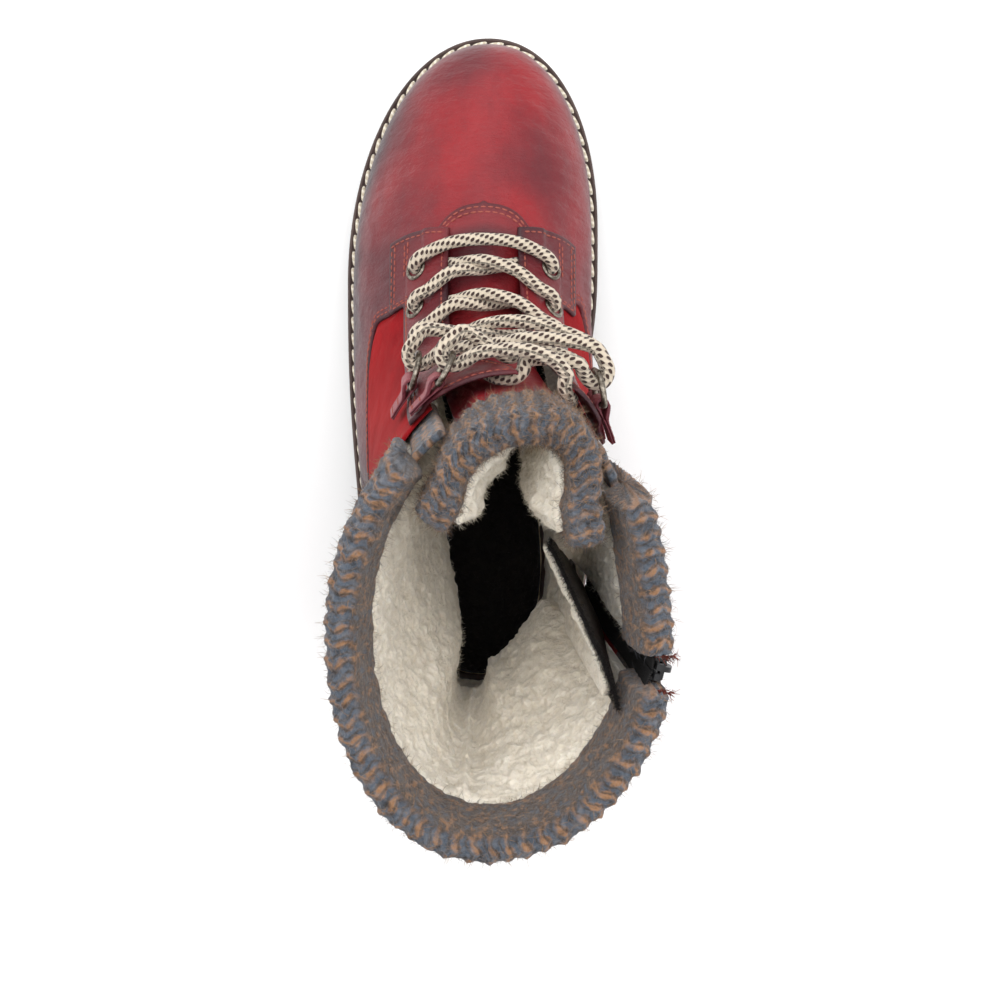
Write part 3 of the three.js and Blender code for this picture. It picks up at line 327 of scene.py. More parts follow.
# Node trees: every finish is made of noise, cells and waves on the piece's own coordinates.
class Tree:
    """Short way to write a material's node tree."""

    def __init__(self, name: str) -> None:
        """Starts an empty material with a Principled shader."""
        self.material = bpy.data.materials.new(name)
        self.material.use_nodes = True
        self.nodes = self.material.node_tree.nodes
        self.links = self.material.node_tree.links
        self.nodes.clear()
        self.out = self.nodes.new("ShaderNodeOutputMaterial")
        self.shader = self.nodes.new("ShaderNodeBsdfPrincipled")
        self.links.new(self.shader.outputs[0], self.out.inputs[0])

    def put(self, socket: object, value: object) -> None:
        """Links or sets one input."""
        if isinstance(value, Socket):
            self.links.new(value, socket)
        elif isinstance(value, tuple) and len(value) == 3 and socket.type == "RGBA":
            socket.default_value = (*value, 1)
        else:
            socket.default_value = value

    def node(self, kind: str, inputs: dict[object, object], **settings: object) -> bpy.types.Node:
        """Adds a node.

        Args:
            kind: node type without its ShaderNode prefix.
            inputs: input name or index to a value or socket.
            settings: node properties.

        Returns:
            The node.
        """
        n = self.nodes.new("ShaderNode" + kind)
        for key, value in settings.items():
            setattr(n, key, value)
        for key, value in inputs.items():
            self.put(n.inputs[key], value)
        return n

    def math(self, operation: str, a: object, b: object = 0.0) -> Socket:
        """One Math node's output."""
        return self.node("Math", {0: a, 1: b}, operation=operation).outputs[0]

    def plus(self, a: object, b: object) -> Socket:
        """Sum of two numbers."""
        return self.math("ADD", a, b)

    def times(self, a: object, b: object) -> Socket:
        """Product of two numbers."""
        return self.math("MULTIPLY", a, b)

    def sine(self, a: object) -> Socket:
        """Sine of an angle."""
        return self.math("SINE", a)

    def position(self) -> Socket:
        """Object coordinates."""
        return self.node("TexCoord", {}).outputs["Object"]

    def uv(self) -> Socket:
        """The piece's own map."""
        return self.node("UVMap", {}, uv_map="UVMap").outputs[0]

    def attribute(self, name: str) -> Socket:
        """A number stored on the mesh."""
        return self.node("Attribute", {}, attribute_name=name).outputs["Fac"]

    def noise(
        self, where: object, scale: float, detail: float = 3, rough: float = 0.55,
        stretch: tuple = (1, 1, 1)
    ) -> Socket:
        """Noise in 0 to 1."""
        m = self.node("Mapping", {"Vector": where, "Scale": stretch}).outputs[0]
        return self.node(
            "TexNoise", {"Vector": m, "Scale": scale, "Detail": detail, "Roughness": rough}
        ).outputs[0]

    def cells(self, where: object, scale: float) -> Socket:
        """Distance to the nearest Voronoi cell."""
        return self.node("TexVoronoi", {"Vector": where, "Scale": scale}).outputs["Distance"]

    def ramp(self, value: object, stops: list[tuple[float, tuple]]) -> Socket:
        """Colour ramp through the stops."""
        n = self.node("ValToRGB", {0: value})
        e = n.color_ramp.elements
        while len(e) < len(stops):
            e.new(0.5)
        for item, (at, color) in zip(e, stops):
            item.position, item.color = at, (*color, 1)
        return n.outputs[0]

    def mix(self, factor: object, a: object, b: object, mode: str = "MIX") -> Socket:
        """Mix of two colours."""
        n = self.node("Mix", {}, data_type="RGBA", blend_type=mode)
        self.put(n.inputs[0], factor)
        self.put(n.inputs[6], a)
        self.put(n.inputs[7], b)
        return n.outputs[2]

    def remap(self, value: object, a: float, b: float, c: float, d: float) -> Socket:
        """Value moved from the range a to b into c to d."""
        return self.node("MapRange", {0: value, 1: a, 2: b, 3: c, 4: d}).outputs[0]

    def bump(
        self, height: object, distance: float, strength: float = 1.0, before: object = None
    ) -> Socket:
        """Bump from a height."""
        inputs = {"Height": height, "Distance": distance, "Strength": strength}
        if before is not None:
            inputs["Normal"] = before
        return self.node("Bump", inputs).outputs[0]

    def finish(self, **values: object) -> bpy.types.Material:
        """Sets the shader's inputs, spaces written as underscores, and returns the material."""
        for key, value in values.items():
            self.put(self.shader.inputs[key.replace("_", " ")], value)
        return self.material


@dataclass(frozen=True)
class BurnishedLeather:
    """Hand-burnished leather: bright field, dark at edges, fine pores and creases. The stored darkening is burnish,
    and on the vamp and heel it is also painted shade on the toe's sides and tip.
    """

    name: str
    bright: tuple
    mid: tuple
    dark: tuple
    gloss: float = 0.42

    def build(self) -> bpy.types.Material:
        """Builds the material."""
        t = Tree(self.name)
        p = t.position()
        cloud = t.noise(p, 26, 4)
        # Stored darkening: burnish at the edges and foot, and on the vamp and heel also painted shade on the toe's
        # sides and tip.
        edge = t.attribute("wear_and_shade")
        mixed = t.plus(edge, t.remap(cloud, 0.3, 0.7, -0.22, 0.22))
        base = t.ramp(mixed, [(0.0, self.bright), (0.45, self.mid), (0.95, self.dark)])
        streak = t.noise(p, 90, 5, 0.7, (1, 0.35, 1))
        base = t.mix(t.remap(streak, 0.45, 0.75, 0, 0.28), base, self.dark)
        pores = t.cells(p, 1500)
        grain = t.noise(p, 700, 4, 0.6)
        wrinkle = t.noise(p, 150, 5, 0.62, (1, 2.2, 1))
        base = t.mix(t.remap(pores, 0.0, 0.22, 0.25, 0), base, self.dark)
        n = t.bump(t.remap(pores, 0, 0.5, 0, 1), 0.00006)
        n = t.bump(grain, 0.00009, 1, n)
        n = t.bump(t.remap(wrinkle, 0.35, 0.6, 0, 1), 0.00025, 1, n)
        rough = t.remap(
            t.plus(cloud, t.times(grain, 0.4)), 0.4, 1.0, self.gloss - 0.08, self.gloss + 0.14
        )
        return t.finish(
            Base_Color=base, Roughness=rough, Normal=n, Specular_IOR_Level=0.34, Coat_Weight=0.05,
            Coat_Roughness=0.35
        )


@dataclass(frozen=True)
class Suede:
    """Napped suede: soft directionless nap, lighter where it is brushed."""

    name: str
    color: tuple
    brushed: tuple

    def build(self) -> bpy.types.Material:
        """Builds the material."""
        t = Tree(self.name)
        p = t.position()
        nap = t.noise(p, 60, 5, 0.65)
        fibre = t.noise(p, 1400, 3, 0.7, (1, 0.4, 1))
        base = t.mix(t.remap(nap, 0.35, 0.68, 0, 1), self.color, self.brushed)
        base = t.mix(t.remap(fibre, 0.3, 0.75, 0.45, 0), base, (0.16, 0.004, 0.008))
        n = t.bump(fibre, 0.00022)
        n = t.bump(nap, 0.0003, 1, n)
        return t.finish(
            Base_Color=base, Roughness=0.95, Normal=n, Specular_IOR_Level=0.15, Sheen_Weight=0.12,
            Sheen_Roughness=0.4, Sheen_Tint=(1.0, 0.3, 0.25, 1)
        )


@dataclass(frozen=True)
class Fleece:
    """Curled cream pile."""

    name: str
    light: tuple
    shade: tuple

    def build(self) -> bpy.types.Material:
        """Builds the material."""
        t = Tree(self.name)
        p = t.position()
        tuft = t.noise(p, 210, 5, 0.7)
        curl = t.cells(p, 420)
        base = t.mix(t.remap(tuft, 0.35, 0.7, 0, 1), self.shade, self.light)
        n = t.bump(tuft, 0.0012)
        n = t.bump(curl, 0.0006, 1, n)
        return t.finish(
            Base_Color=base, Roughness=0.97, Normal=n, Specular_IOR_Level=0.1, Sheen_Weight=0.35,
            Sheen_Roughness=0.5, Subsurface_Weight=0.12, Subsurface_Radius=(0.004, 0.003, 0.002),
            Subsurface_Scale=0.6
        )


@dataclass(frozen=True)
class Knit:
    """Mohair knit in alternating blue-grey and tawny wales, felted where tone is 0."""

    name: str
    blue: tuple
    tawny: tuple
    felt: tuple
    wale: float = 5.2

    def build(self) -> bpy.types.Material:
        """Builds the material; the map's u runs round the boot in mm."""
        t = Tree(self.name)
        p = t.position()
        split = t.node("SeparateXYZ", {0: t.uv()})
        u, v = split.outputs[0], split.outputs[1]
        drift = t.times(t.math("SUBTRACT", t.noise(p, 190, 3), 0.5), 3.0)
        phase = t.plus(t.times(u, TAU / self.wale), drift)
        lean = t.times(t.math("PINGPONG", v, 4.0), 0.55)
        stripe = t.sine(t.plus(phase, lean))
        rowp = t.sine(t.plus(t.times(v, TAU / 4.4), drift))
        patchy = t.noise(p, 120, 4, 0.7)
        value = t.plus(t.plus(stripe, t.times(rowp, 0.5)), t.remap(patchy, 0.3, 0.7, -1.0, 0.8))
        rib = t.mix(t.remap(value, -0.2, 0.9, 0, 1), self.blue, self.tawny)
        between = t.sine(t.plus(t.times(phase, 2.0), t.times(lean, 2.0)))
        rib = t.mix(t.remap(between, 0.1, 0.9, 0, 0.75), rib, self.felt)
        mottle = t.noise(p, 330, 4, 0.7)
        rib = t.mix(t.remap(mottle, 0.5, 0.78, 0, 0.6), rib, (0.24, 0.23, 0.24))
        rib = t.mix(t.remap(mottle, 0.28, 0.5, 0.85, 0), rib, (0.02, 0.018, 0.018))
        fleck = t.noise(p, 420, 3, 0.6)
        felt = t.mix(
            t.remap(t.noise(p, 260, 5, 0.75), 0.35, 0.7, 0, 1), self.felt,
            tuple(1.8 * c for c in self.felt)
        )
        felt = t.mix(t.remap(fleck, 0.53, 0.65, 0, 0.7), felt, self.tawny)
        felt = t.mix(t.remap(fleck, 0.45, 0.35, 0, 0.7), felt, self.blue)
        base = t.mix(t.attribute("tone"), felt, rib)
        fuzz = t.noise(p, 900, 4, 0.8)
        n = t.bump(fuzz, 0.0007)
        n = t.bump(t.noise(p, 420, 3, 0.7), 0.0009, 1, n)
        return t.finish(
            Base_Color=base, Roughness=0.96, Normal=n, Specular_IOR_Level=0.12, Sheen_Weight=0.35,
            Sheen_Roughness=0.5, Sheen_Tint=(0.85, 0.8, 0.78, 1)
        )


@dataclass(frozen=True)
class Hair:
    """Loose wool fibres; the tone attribute picks between two colours."""

    name: str
    one: tuple
    two: tuple

    def build(self) -> bpy.types.Material:
        """Builds the material."""
        t = Tree(self.name)
        base = t.mix(t.attribute("tone"), self.one, self.two)
        vary = t.noise(t.position(), 400, 2)
        base = t.mix(t.remap(vary, 0.3, 0.7, 0, 0.35), base, (0.5, 0.45, 0.4), "SOFT_LIGHT")
        return t.finish(Base_Color=base, Roughness=0.8, Specular_IOR_Level=0.2)


@dataclass(frozen=True)
class Braid:
    """Round braided lace: cream strands with rows of black flecks."""

    name: str
    cream: tuple
    fleck: tuple

    def build(self) -> bpy.types.Material:
        """Builds the material; the map's u is mm along and v is turns round."""
        t = Tree(self.name)
        split = t.node("SeparateXYZ", {0: t.uv()})
        along = t.times(split.outputs[0], TAU / 3.5)
        slant = t.times(split.outputs[0], TAU / 6.0)
        round_ = t.plus(t.times(split.outputs[1], TAU * 5), slant)
        spot = t.times(t.math("COSINE", along), t.math("COSINE", round_))
        mask = t.remap(spot, 0.16, 0.32, 0, 1)
        hair = t.noise(t.position(), 1500, 3, 0.7)
        base = t.mix(t.remap(hair, 0.3, 0.7, 0, 0.3), self.cream, (0.52, 0.46, 0.36))
        base = t.mix(mask, base, self.fleck)
        cell = t.math("ABSOLUTE", spot)
        n = t.bump(t.math("POWER", cell, 0.5), 0.00035)
        n = t.bump(hair, 0.00012, 1, n)
        return t.finish(
            Base_Color=base, Roughness=0.88, Normal=n, Specular_IOR_Level=0.2, Sheen_Weight=0.2
        )


@dataclass(frozen=True)
class Metal:
    """Dark antique plate with worn high spots."""

    name: str
    color: tuple
    worn: tuple
    rough: float = 0.36

    def build(self) -> bpy.types.Material:
        """Builds the material."""
        t = Tree(self.name)
        p = t.position()
        spots = t.noise(p, 900, 4, 0.6)
        base = t.mix(t.remap(spots, 0.45, 0.7, 0, 1), self.color, self.worn)
        n = t.bump(t.noise(p, 1600, 3), 0.00004)
        return t.finish(
            Base_Color=base, Metallic=1.0,
            Roughness=t.remap(spots, 0.3, 0.7, self.rough - 0.1, self.rough + 0.12), Normal=n
        )


@dataclass(frozen=True)
class Solid:
    """Moulded rubber or plastic, paper board or cork: speckled, finely textured."""

    name: str
    color: tuple
    other: tuple
    rough: float = 0.7
    grain: float = 500
    depth: float = 0.0001

    def build(self) -> bpy.types.Material:
        """Builds the material."""
        t = Tree(self.name)
        p = t.position()
        cloud = t.noise(p, self.grain * 0.12, 4)
        fine = t.noise(p, self.grain, 4, 0.65)
        base = t.mix(
            t.remap(t.plus(cloud, t.times(fine, 0.5)), 0.5, 1.0, 0, 1), self.color, self.other
        )
        n = t.bump(fine, self.depth)
        return t.finish(
            Base_Color=base, Roughness=t.remap(fine, 0.3, 0.7, self.rough - 0.08, self.rough + 0.1),
            Normal=n, Specular_IOR_Level=0.4
        )


@dataclass(frozen=True)
class Weave:
    """Woven tape or thread: twill on the piece's map in mm."""

    name: str
    color: tuple
    other: tuple
    pitch: float = 0.6

    def build(self) -> bpy.types.Material:
        """Builds the material."""
        t = Tree(self.name)
        split = t.node("SeparateXYZ", {0: t.uv()})
        a = t.sine(t.times(t.plus(split.outputs[0], split.outputs[1]), TAU / self.pitch))
        b = t.sine(t.times(split.outputs[1], TAU / self.pitch))
        w = t.times(a, b)
        hair = t.noise(t.position(), 1300, 3, 0.7)
        base = t.mix(t.remap(t.plus(w, hair), 0, 1.4, 0, 1), self.color, self.other)
        n = t.bump(w, 0.00012)
        return t.finish(
            Base_Color=base, Roughness=0.88, Normal=t.bump(hair, 0.0001, 1, n),
            Specular_IOR_Level=0.2
        )


class Finish(Enum):
    """Every finish on the boot."""

    VAMP = BurnishedLeather(
        "burnished_leather", (0.27, 0.012, 0.017), (0.155, 0.012, 0.018), (0.040, 0.012, 0.018),
        0.40
    )
    OVERLAY = BurnishedLeather(
        "overlay_leather", (0.20, 0.016, 0.021), (0.12, 0.013, 0.018), (0.040, 0.011, 0.016), 0.42
    )
    STRAP = BurnishedLeather(
        "strap_leather", (0.30, 0.07, 0.08), (0.20, 0.035, 0.045), (0.09, 0.02, 0.03), 0.5
    )
    GUARD = BurnishedLeather(
        "guard_leather", (0.020, 0.013, 0.011), (0.014, 0.01, 0.009), (0.006, 0.005, 0.005), 0.45
    )
    SUEDE = Suede("red_suede", (0.22, 0.004, 0.007), (0.33, 0.009, 0.012))
    FLEECE = Fleece("cream_fleece", (0.92, 0.86, 0.75), (0.70, 0.63, 0.52))
    # Footbed felt, near-black: a dark insole, darkened further as painted shade deep inside the boot.
    FELT_AND_SHADE = Fleece("footbed_felt", (0.012, 0.010, 0.009), (0.006, 0.005, 0.0045))
    KNIT = Knit("mohair_knit", (0.085, 0.105, 0.135), (0.31, 0.165, 0.085), (0.060, 0.047, 0.040))
    WOOL = Hair("wool_hair", (0.12, 0.13, 0.15), (0.34, 0.21, 0.12))
    PILE = Hair("pile_hair", (0.66, 0.60, 0.48), (0.86, 0.81, 0.71))
    BLACK_WOOL = Hair("black_wool", (0.012, 0.010, 0.010), (0.03, 0.026, 0.024))
    LACE = Braid("lace_braid", (0.62, 0.53, 0.42), (0.05, 0.03, 0.026))
    METAL = Metal("gunmetal", (0.13, 0.11, 0.09), (0.40, 0.36, 0.30))
    STEEL = Metal("spring_steel", (0.45, 0.47, 0.5), (0.6, 0.62, 0.65), 0.3)
    RUBBER = Solid("sole_rubber", (0.030, 0.022, 0.020), (0.060, 0.046, 0.042), 0.72)
    WELT = Solid("welt_rubber", (0.050, 0.030, 0.027), (0.105, 0.070, 0.062), 0.62)
    PLASTIC = Solid("zip_plastic", (0.010, 0.010, 0.011), (0.022, 0.022, 0.024), 0.34, 300, 0.00004)
    BOARD = Solid("fibre_board", (0.50, 0.40, 0.27), (0.62, 0.53, 0.38), 0.9, 900)
    CORK = Solid("cork_filler", (0.30, 0.17, 0.09), (0.48, 0.31, 0.18), 0.92, 350, 0.0003)
    TAPE = Weave("zip_tape", (0.010, 0.010, 0.011), (0.035, 0.033, 0.032))
    THREAD = Weave("welt_thread", (0.60, 0.52, 0.40), (0.84, 0.78, 0.66), 0.9)
    RED_THREAD = Weave("red_thread", (0.34, 0.075, 0.06), (0.50, 0.17, 0.12), 0.5)


_built: dict[Finish, bpy.types.Material] = {}


def material(finish: Finish) -> bpy.types.Material:
    """The finish's material, built once."""
    if finish not in _built:
        _built[finish] = finish.value.build()
    return _built[finish]


# Meshes: grids of points gathered into one piece.
class Piece:
    """A mesh being gathered from grids, in mm, with a map and an attribute."""

    def __init__(self, name: str) -> None:
        """Starts an empty piece."""
        self.name = name
        self.points: list[Array] = []
        self.faces: list[Array] = []
        self.maps: list[Array] = []
        self.extra: list[Array] = []
        self.caps: list[Array] = []
        self.count = 0

    def add(self, points: Array, quads: Array, uv: Array, extra: Numbers = 0.0) -> int:
        """Adds vertices and quads and returns the first vertex's index."""
        first = self.count
        flat = points.reshape(-1, 3)
        self.points.append(flat)
        self.faces.append(quads + first)
        self.maps.append(uv.reshape(-1, 2))
        self.extra.append(np.broadcast_to(extra, points.shape[:-1]).reshape(-1))
        self.count += len(flat)
        return first

    def grid(
        self, p: Array, uv: Array, extra: Numbers = 0.0, wrap_i: bool = False, wrap_j: bool = False,
        flip: bool = False, cap: bool = False
    ) -> None:
        """Adds a grid of points [i, j]; faces join neighbours, and wrap where asked.

        Args:
            p: points, shape (ni, nj, 3).
            uv: map in mm, shape (ni, nj, 2).
            extra: attribute.
            wrap_i: join the last i row to the first.
            wrap_j: join the last j column to the first.
            flip: turn the faces over.
            cap: close the two i ends with one face each, for a tube round j.
        """
        ni, nj = p.shape[:2]
        i = np.arange(ni if wrap_i else ni - 1)[:, None]
        j = np.arange(nj if wrap_j else nj - 1)[None, :]
        i2, j2 = (i + 1) % ni, (j + 1) % nj
        q = np.stack([i * nj + j, i2 * nj + j, i2 * nj + j2, i * nj + j2], -1).reshape(-1, 4)
        if flip:
            q = q[:, ::-1]
        first = self.add(p, q, uv, extra)
        if cap:
            a = first + np.arange(nj)
            b = first + (ni - 1) * nj + np.arange(nj)
            self.caps += [a[::-1], b] if flip else [a, b[::-1]]

    def build(
        self, body: str, finish: Finish, slot: str, replaces: tuple[str, ...] = (),
        attribute: str = "wear_and_shade"
    ) -> bpy.types.Object:
        """Makes the object, dresses it and joins it to its body.

        Args:
            body: CAD body that it rides on.
            finish: its finish.
            slot: the record's material slot; not used.
            replaces: CAD nodes that it stands for.
            attribute: name for the stored number.

        Returns:
            The object.
        """
        points = np.vstack(self.points) * MM
        quads = np.vstack(self.faces) if self.faces else np.zeros((0, 4), int)
        mesh = bpy.data.meshes.new(self.name)
        loops = np.concatenate([quads.reshape(-1), *self.caps]).astype(np.int32)
        totals = np.concatenate(
            [np.full(len(quads), 4), [len(c) for c in self.caps]]
        ).astype(np.int32)
        mesh.vertices.add(len(points))
        mesh.vertices.foreach_set("co", points.reshape(-1).astype(np.float32))
        mesh.loops.add(len(loops))
        mesh.loops.foreach_set("vertex_index", loops)
        mesh.polygons.add(len(totals))
        mesh.polygons.foreach_set("loop_start", np.r_[0, np.cumsum(totals)[:-1]].astype(np.int32))
        mesh.polygons.foreach_set("loop_total", totals)
        mesh.update(calc_edges=True)
        mesh.validate()
        uv = np.vstack(self.maps)
        layer = mesh.uv_layers.new(name="UVMap")
        index = np.zeros(len(mesh.loops), np.int32)
        mesh.loops.foreach_get("vertex_index", index)
        layer.data.foreach_set("uv", uv[index].reshape(-1).astype(np.float32))
        tone = mesh.attributes.new(attribute, "FLOAT", "POINT")
        tone.data.foreach_set("value", np.concatenate(self.extra).astype(np.float32))
        mesh.polygons.foreach_set("use_smooth", np.full(len(mesh.polygons), True))
        obj = bpy.data.objects.new(self.name, mesh)
        bpy.context.scene.collection.objects.link(obj)
        mesh.materials.append(material(finish))
        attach(obj, body)
        if replaces:
            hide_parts(*replaces)
        log.info("%s: %d faces", self.name, len(mesh.polygons))
        return obj


class Seams(Piece):
    """Stitches of one seam or more in red thread."""

    def sew(self, attribute: str = "wear_and_shade") -> None:
        """Builds the stitches on the boot."""
        self.build("boot", Finish.RED_THREAD, "stitch_thread", attribute=attribute)


def spread(n: int, length: float, fine: float = 0.35, steps: int = 4) -> Array:
    """Values 0 to 1 with close rows at both ends, for rounded edges.

    Args:
        n: how many even steps between.
        length: the real length in mm.
        fine: first step in mm.
        steps: how many close steps at each end.

    Returns:
        Sorted values.
    """
    near = np.array([0, *(fine * (1.35 ** np.arange(steps)).cumsum())]) / length
    return np.concatenate([near, np.linspace(near[-1], 1 - near[-1], n + 1)[1:-1], 1 - near[::-1]])


def lengths(p: Array) -> tuple[Array, Array]:
    """Running lengths along i and j of a grid of points."""
    a = np.linalg.norm(np.diff(p, axis=0), axis=-1)
    b = np.linalg.norm(np.diff(p, axis=1), axis=-1)
    u = np.concatenate([np.zeros((1, p.shape[1])), np.cumsum(a, 0)], 0)
    v = np.concatenate([np.zeros((p.shape[0], 1)), np.cumsum(b, 1)], 1)
    return u, v


@dataclass
class Patch:
    """A panel on the upper: where it lies, how thick it is and how its edge is turned.

    The outer face is raised over the inner one by a quarter circle that falls
    to nothing over the last millimetre, so the edge is rounded.
    """

    name: str
    phi: Array
    level: Array
    inner: Numbers
    thick: float
    rise: Numbers = 0.0
    round_mm: float = 1.2
    relief: Relief | None = None
    pile: Relief | None = None
    wear_and_shade: Callable[[Array, Array], Array] | None = None
    ring: bool = False
    inside: Array | None = None

    def make(self) -> Piece:
        """Builds the closed panel.

        Returns:
            The piece, with the map in mm and wear as its attribute.
        """
        inner = np.broadcast_to(self.inner, self.phi.shape).astype(float)
        low = FORM.skin(self.phi, self.level, inner, self.rise)
        u, v = lengths(low)
        far_u = u[-1:] - u
        far_v = v[:, -1:] - v
        edge = (
            np.minimum(v, far_v) if self.ring
            else np.minimum(np.minimum(u, far_u), np.minimum(v, far_v))
        )
        t = np.clip(edge / self.round_mm, 0, 1)
        lift = self.thick * (0.35 + 0.65 * np.sqrt(1 - (1 - t) ** 2))
        if self.relief is not None:
            lift = lift + self.relief(low, edge, self.level) * np.clip(edge / 2, 0, 1)
        high = FORM.skin(self.phi, self.level, inner + lift, self.rise)
        if self.pile is not None:
            grown = inner - self.pile(low, self.phi, self.level) * np.clip(edge / 2.5, 0, 1)
            low = FORM.skin(self.phi, self.level, grown, self.rise)
            self.inside = low
        wear_and_shade = self.wear_and_shade(high, edge) if self.wear_and_shade is not None else np.clip(1 - edge / 5, 0, 1) * 0.7
        wear_and_shade = np.broadcast_to(wear_and_shade, edge.shape)
        uv = np.stack([np.broadcast_to(u[:, [u.shape[1] // 2]], u.shape), v], -1)
        loop = np.concatenate([high, low[:, ::-1]], 1)
        loop_uv = np.concatenate([uv, uv[:, ::-1]], 1)
        loop_wear_and_shade = np.concatenate([wear_and_shade, wear_and_shade[:, ::-1]], 1)
        piece = Piece(self.name)
        if self.ring:
            piece.grid(loop[:-1], loop_uv[:-1], loop_wear_and_shade[:-1], wrap_i=True, wrap_j=True)
            return piece
        piece.grid(loop, loop_uv, loop_wear_and_shade, wrap_j=True)
        ni, nj = loop.shape[:2]
        half = nj // 2
        j = np.arange(half - 1)
        start = np.stack([j, j + 1, nj - 2 - j, nj - 1 - j], -1)
        end = start[:, ::-1] + (ni - 1) * nj
        piece.faces.append(start)
        piece.faces.append(end)
        return piece


def carried(path: Array, hint: Array, closed: bool = False) -> tuple[Array, Array, Array]:
    """Frames along a path: each side is the last one laid square to the new tangent."""
    t = (
        unit(np.roll(path, -1, 0) - np.roll(path, 1, 0)) if closed
        else unit(np.gradient(path, axis=0))
    )
    sides = np.zeros_like(path)
    side = hint
    for k, tangent in enumerate(t):
        side = side - tangent * (side @ tangent)
        side = side / np.linalg.norm(side)
        sides[k] = side
    return t, sides, np.cross(t, sides)


def tube(
    piece: Piece, path: Array, radius: Numbers, sides: int, hint: Array, closed: bool = False
) -> None:
    """Adds a tube: a circle carried along a path.

    Args:
        piece: piece it goes into.
        path: points in mm.
        radius: radius in mm, one or per point.
        sides: points of the circle.
        hint: first side direction.
        closed: whether the path is a ring.
    """
    _, a, b = carried(path, hint, closed)
    turn = np.linspace(0, TAU, sides, endpoint=False)
    r = np.broadcast_to(radius, len(path))[:, None, None]
    p = path[:, None] + r * (
        a[:, None] * np.cos(turn)[:, None] + b[:, None] * np.sin(turn)[:, None]
    )
    along = run(path)
    uv = np.stack(np.broadcast_arrays(along[:, None], (turn / TAU)[None, :]), -1)
    piece.grid(p, uv, wrap_i=closed, wrap_j=True, cap=not closed)


def spline(points: Array, per: int, closed: bool = False) -> Array:
    """Centripetal Catmull-Rom curve through the points, with per steps in each span."""
    if closed:
        p = np.vstack([points[-1:], points, points[:2]])
    else:
        p = np.vstack([2 * points[0] - points[1], points, 2 * points[-1] - points[-2]])
    p0, p1, p2, p3 = p[:-3, None], p[1:-2, None], p[2:-1, None], p[3:, None]
    d0, d1, d2 = (
        np.sqrt(np.linalg.norm(b - a, axis=-1, keepdims=True)) + 1e-9 for a,
        b in ((p0, p1), (p1, p2), (p2, p3))
    )
    m1 = ((p1 - p0) / d0 - (p2 - p0) / (d0 + d1) + (p2 - p1) / d1) * d1
    m2 = ((p2 - p1) / d1 - (p3 - p1) / (d1 + d2) + (p3 - p2) / d2) * d1
    t = (np.arange(per) / per)[None, :, None]
    q = (((2 * p1 - 2 * p2 + m1 + m2) * t + 3 * p2 - 3 * p1 - 2 * m1 - m2) * t + m1) * t + p1
    q = q.reshape(-1, 3)
    return q if closed else np.vstack([q, points[-1:]])


def resample(path: Array, step: float) -> Array:
    """Path with even steps."""
    s = run(path)
    t = np.linspace(0, s[-1], max(4, int(round(s[-1] / step)) + 1))
    return sampled(t, s, path)


def beads(
    piece: Piece, centre: Array, along: Array, out: Array, size: tuple[float, float, float],
    extra: Numbers = 0.0, ni: int = 6, nj: int = 8
) -> None:
    """Adds rounded stitches: capsules whose radius follows the root of a sine.

    Args:
        piece: piece they go into.
        centre: middles, (n, 3).
        along: directions, (n, 3).
        out: outward normals, (n, 3).
        size: length, width and height in mm.
        extra: attribute, one or (n,).
        ni: rings.
        nj: points of a ring.
    """
    a = unit(along)
    o = unit(out - a * (out * a).sum(-1, keepdims=True))
    side = np.cross(o, a)
    t = np.linspace(0.12, np.pi - 0.12, ni)
    turn = np.linspace(0, TAU, nj, endpoint=False)
    r = np.sqrt(np.sin(t))
    lx = -0.5 * size[0] * np.cos(t)[None, :, None, None] * a[:, None, None, :]
    wy = 0.5 * size[1] * (r[:, None] * np.cos(turn))[None, :, :, None] * side[:, None, None, :]
    hz = 0.5 * size[2] * (r[:, None] * np.sin(turn))[None, :, :, None] * o[:, None, None, :]
    p = centre[:, None, None, :] + lx + wy + hz
    many(piece, p, extra)


def many(piece: Piece, p: Array, extra: Numbers = 0.0) -> None:
    """Adds n closed tubes given as an array (n, ni, nj, 3) with flat ends."""
    n, ni, nj = p.shape[:3]
    i, j = np.arange(ni - 1)[:, None], np.arange(nj)[None, :]
    j2 = (j + 1) % nj
    q = np.stack([i * nj + j, (i + 1) * nj + j, (i + 1) * nj + j2, i * nj + j2], -1).reshape(-1, 4)
    base = (np.arange(n) * ni * nj)[:, None, None]
    u = np.broadcast_to(np.linspace(0, 3, ni)[:, None], (ni, nj))
    v = np.broadcast_to((np.arange(nj) / nj)[None, :], (ni, nj))
    uv = np.broadcast_to(np.stack([u, v], -1), (n, ni, nj, 2))
    tone = np.broadcast_to(np.reshape(extra, (-1, 1, 1)), (n, ni, nj))
    first = piece.add(p, (q[None] + base).reshape(-1, 4), uv, tone)
    ends = first + base[:, 0] + np.arange(nj)
    piece.caps += [*ends[:, ::-1], *(ends + (ni - 1) * nj)]


def row(
    piece: Piece, path: Array, out: Array, pitch: float, size: tuple[float, float, float],
    sink: float = 0.0, slant: float = 0.0
) -> None:
    """Adds a row of stitches along a path, evenly spaced.

    Args:
        piece: piece they go into.
        path: points in mm.
        out: outward normals at the points.
        pitch: stitch spacing in mm.
        size: stitch length, width and height.
        sink: how far the thread lies in the leather.
        slant: sideways lean of each stitch.
    """
    s = run(path)
    t = np.arange(pitch / 2, s[-1], pitch)
    c = sampled(t, s, path)
    o = unit(sampled(t, s, out))
    ahead = sampled(t + 0.3, s, path) - sampled(t - 0.3, s, path)
    along = unit(ahead) + slant * np.cross(o, unit(ahead))
    beads(piece, c - o * sink, along, o, size)


def seam(
    piece: Piece, phi: Array, level: Array, depth: Numbers, pitch: float = 2.7,
    size: tuple[float, float, float] = (2.1, 0.72, 0.6)
) -> None:
    """Adds a seam on the upper along given angles and levels."""
    _, n, _ = FORM.frame(phi, level)
    row(piece, FORM.skin(phi, level, depth), n, pitch, size, 0.08)


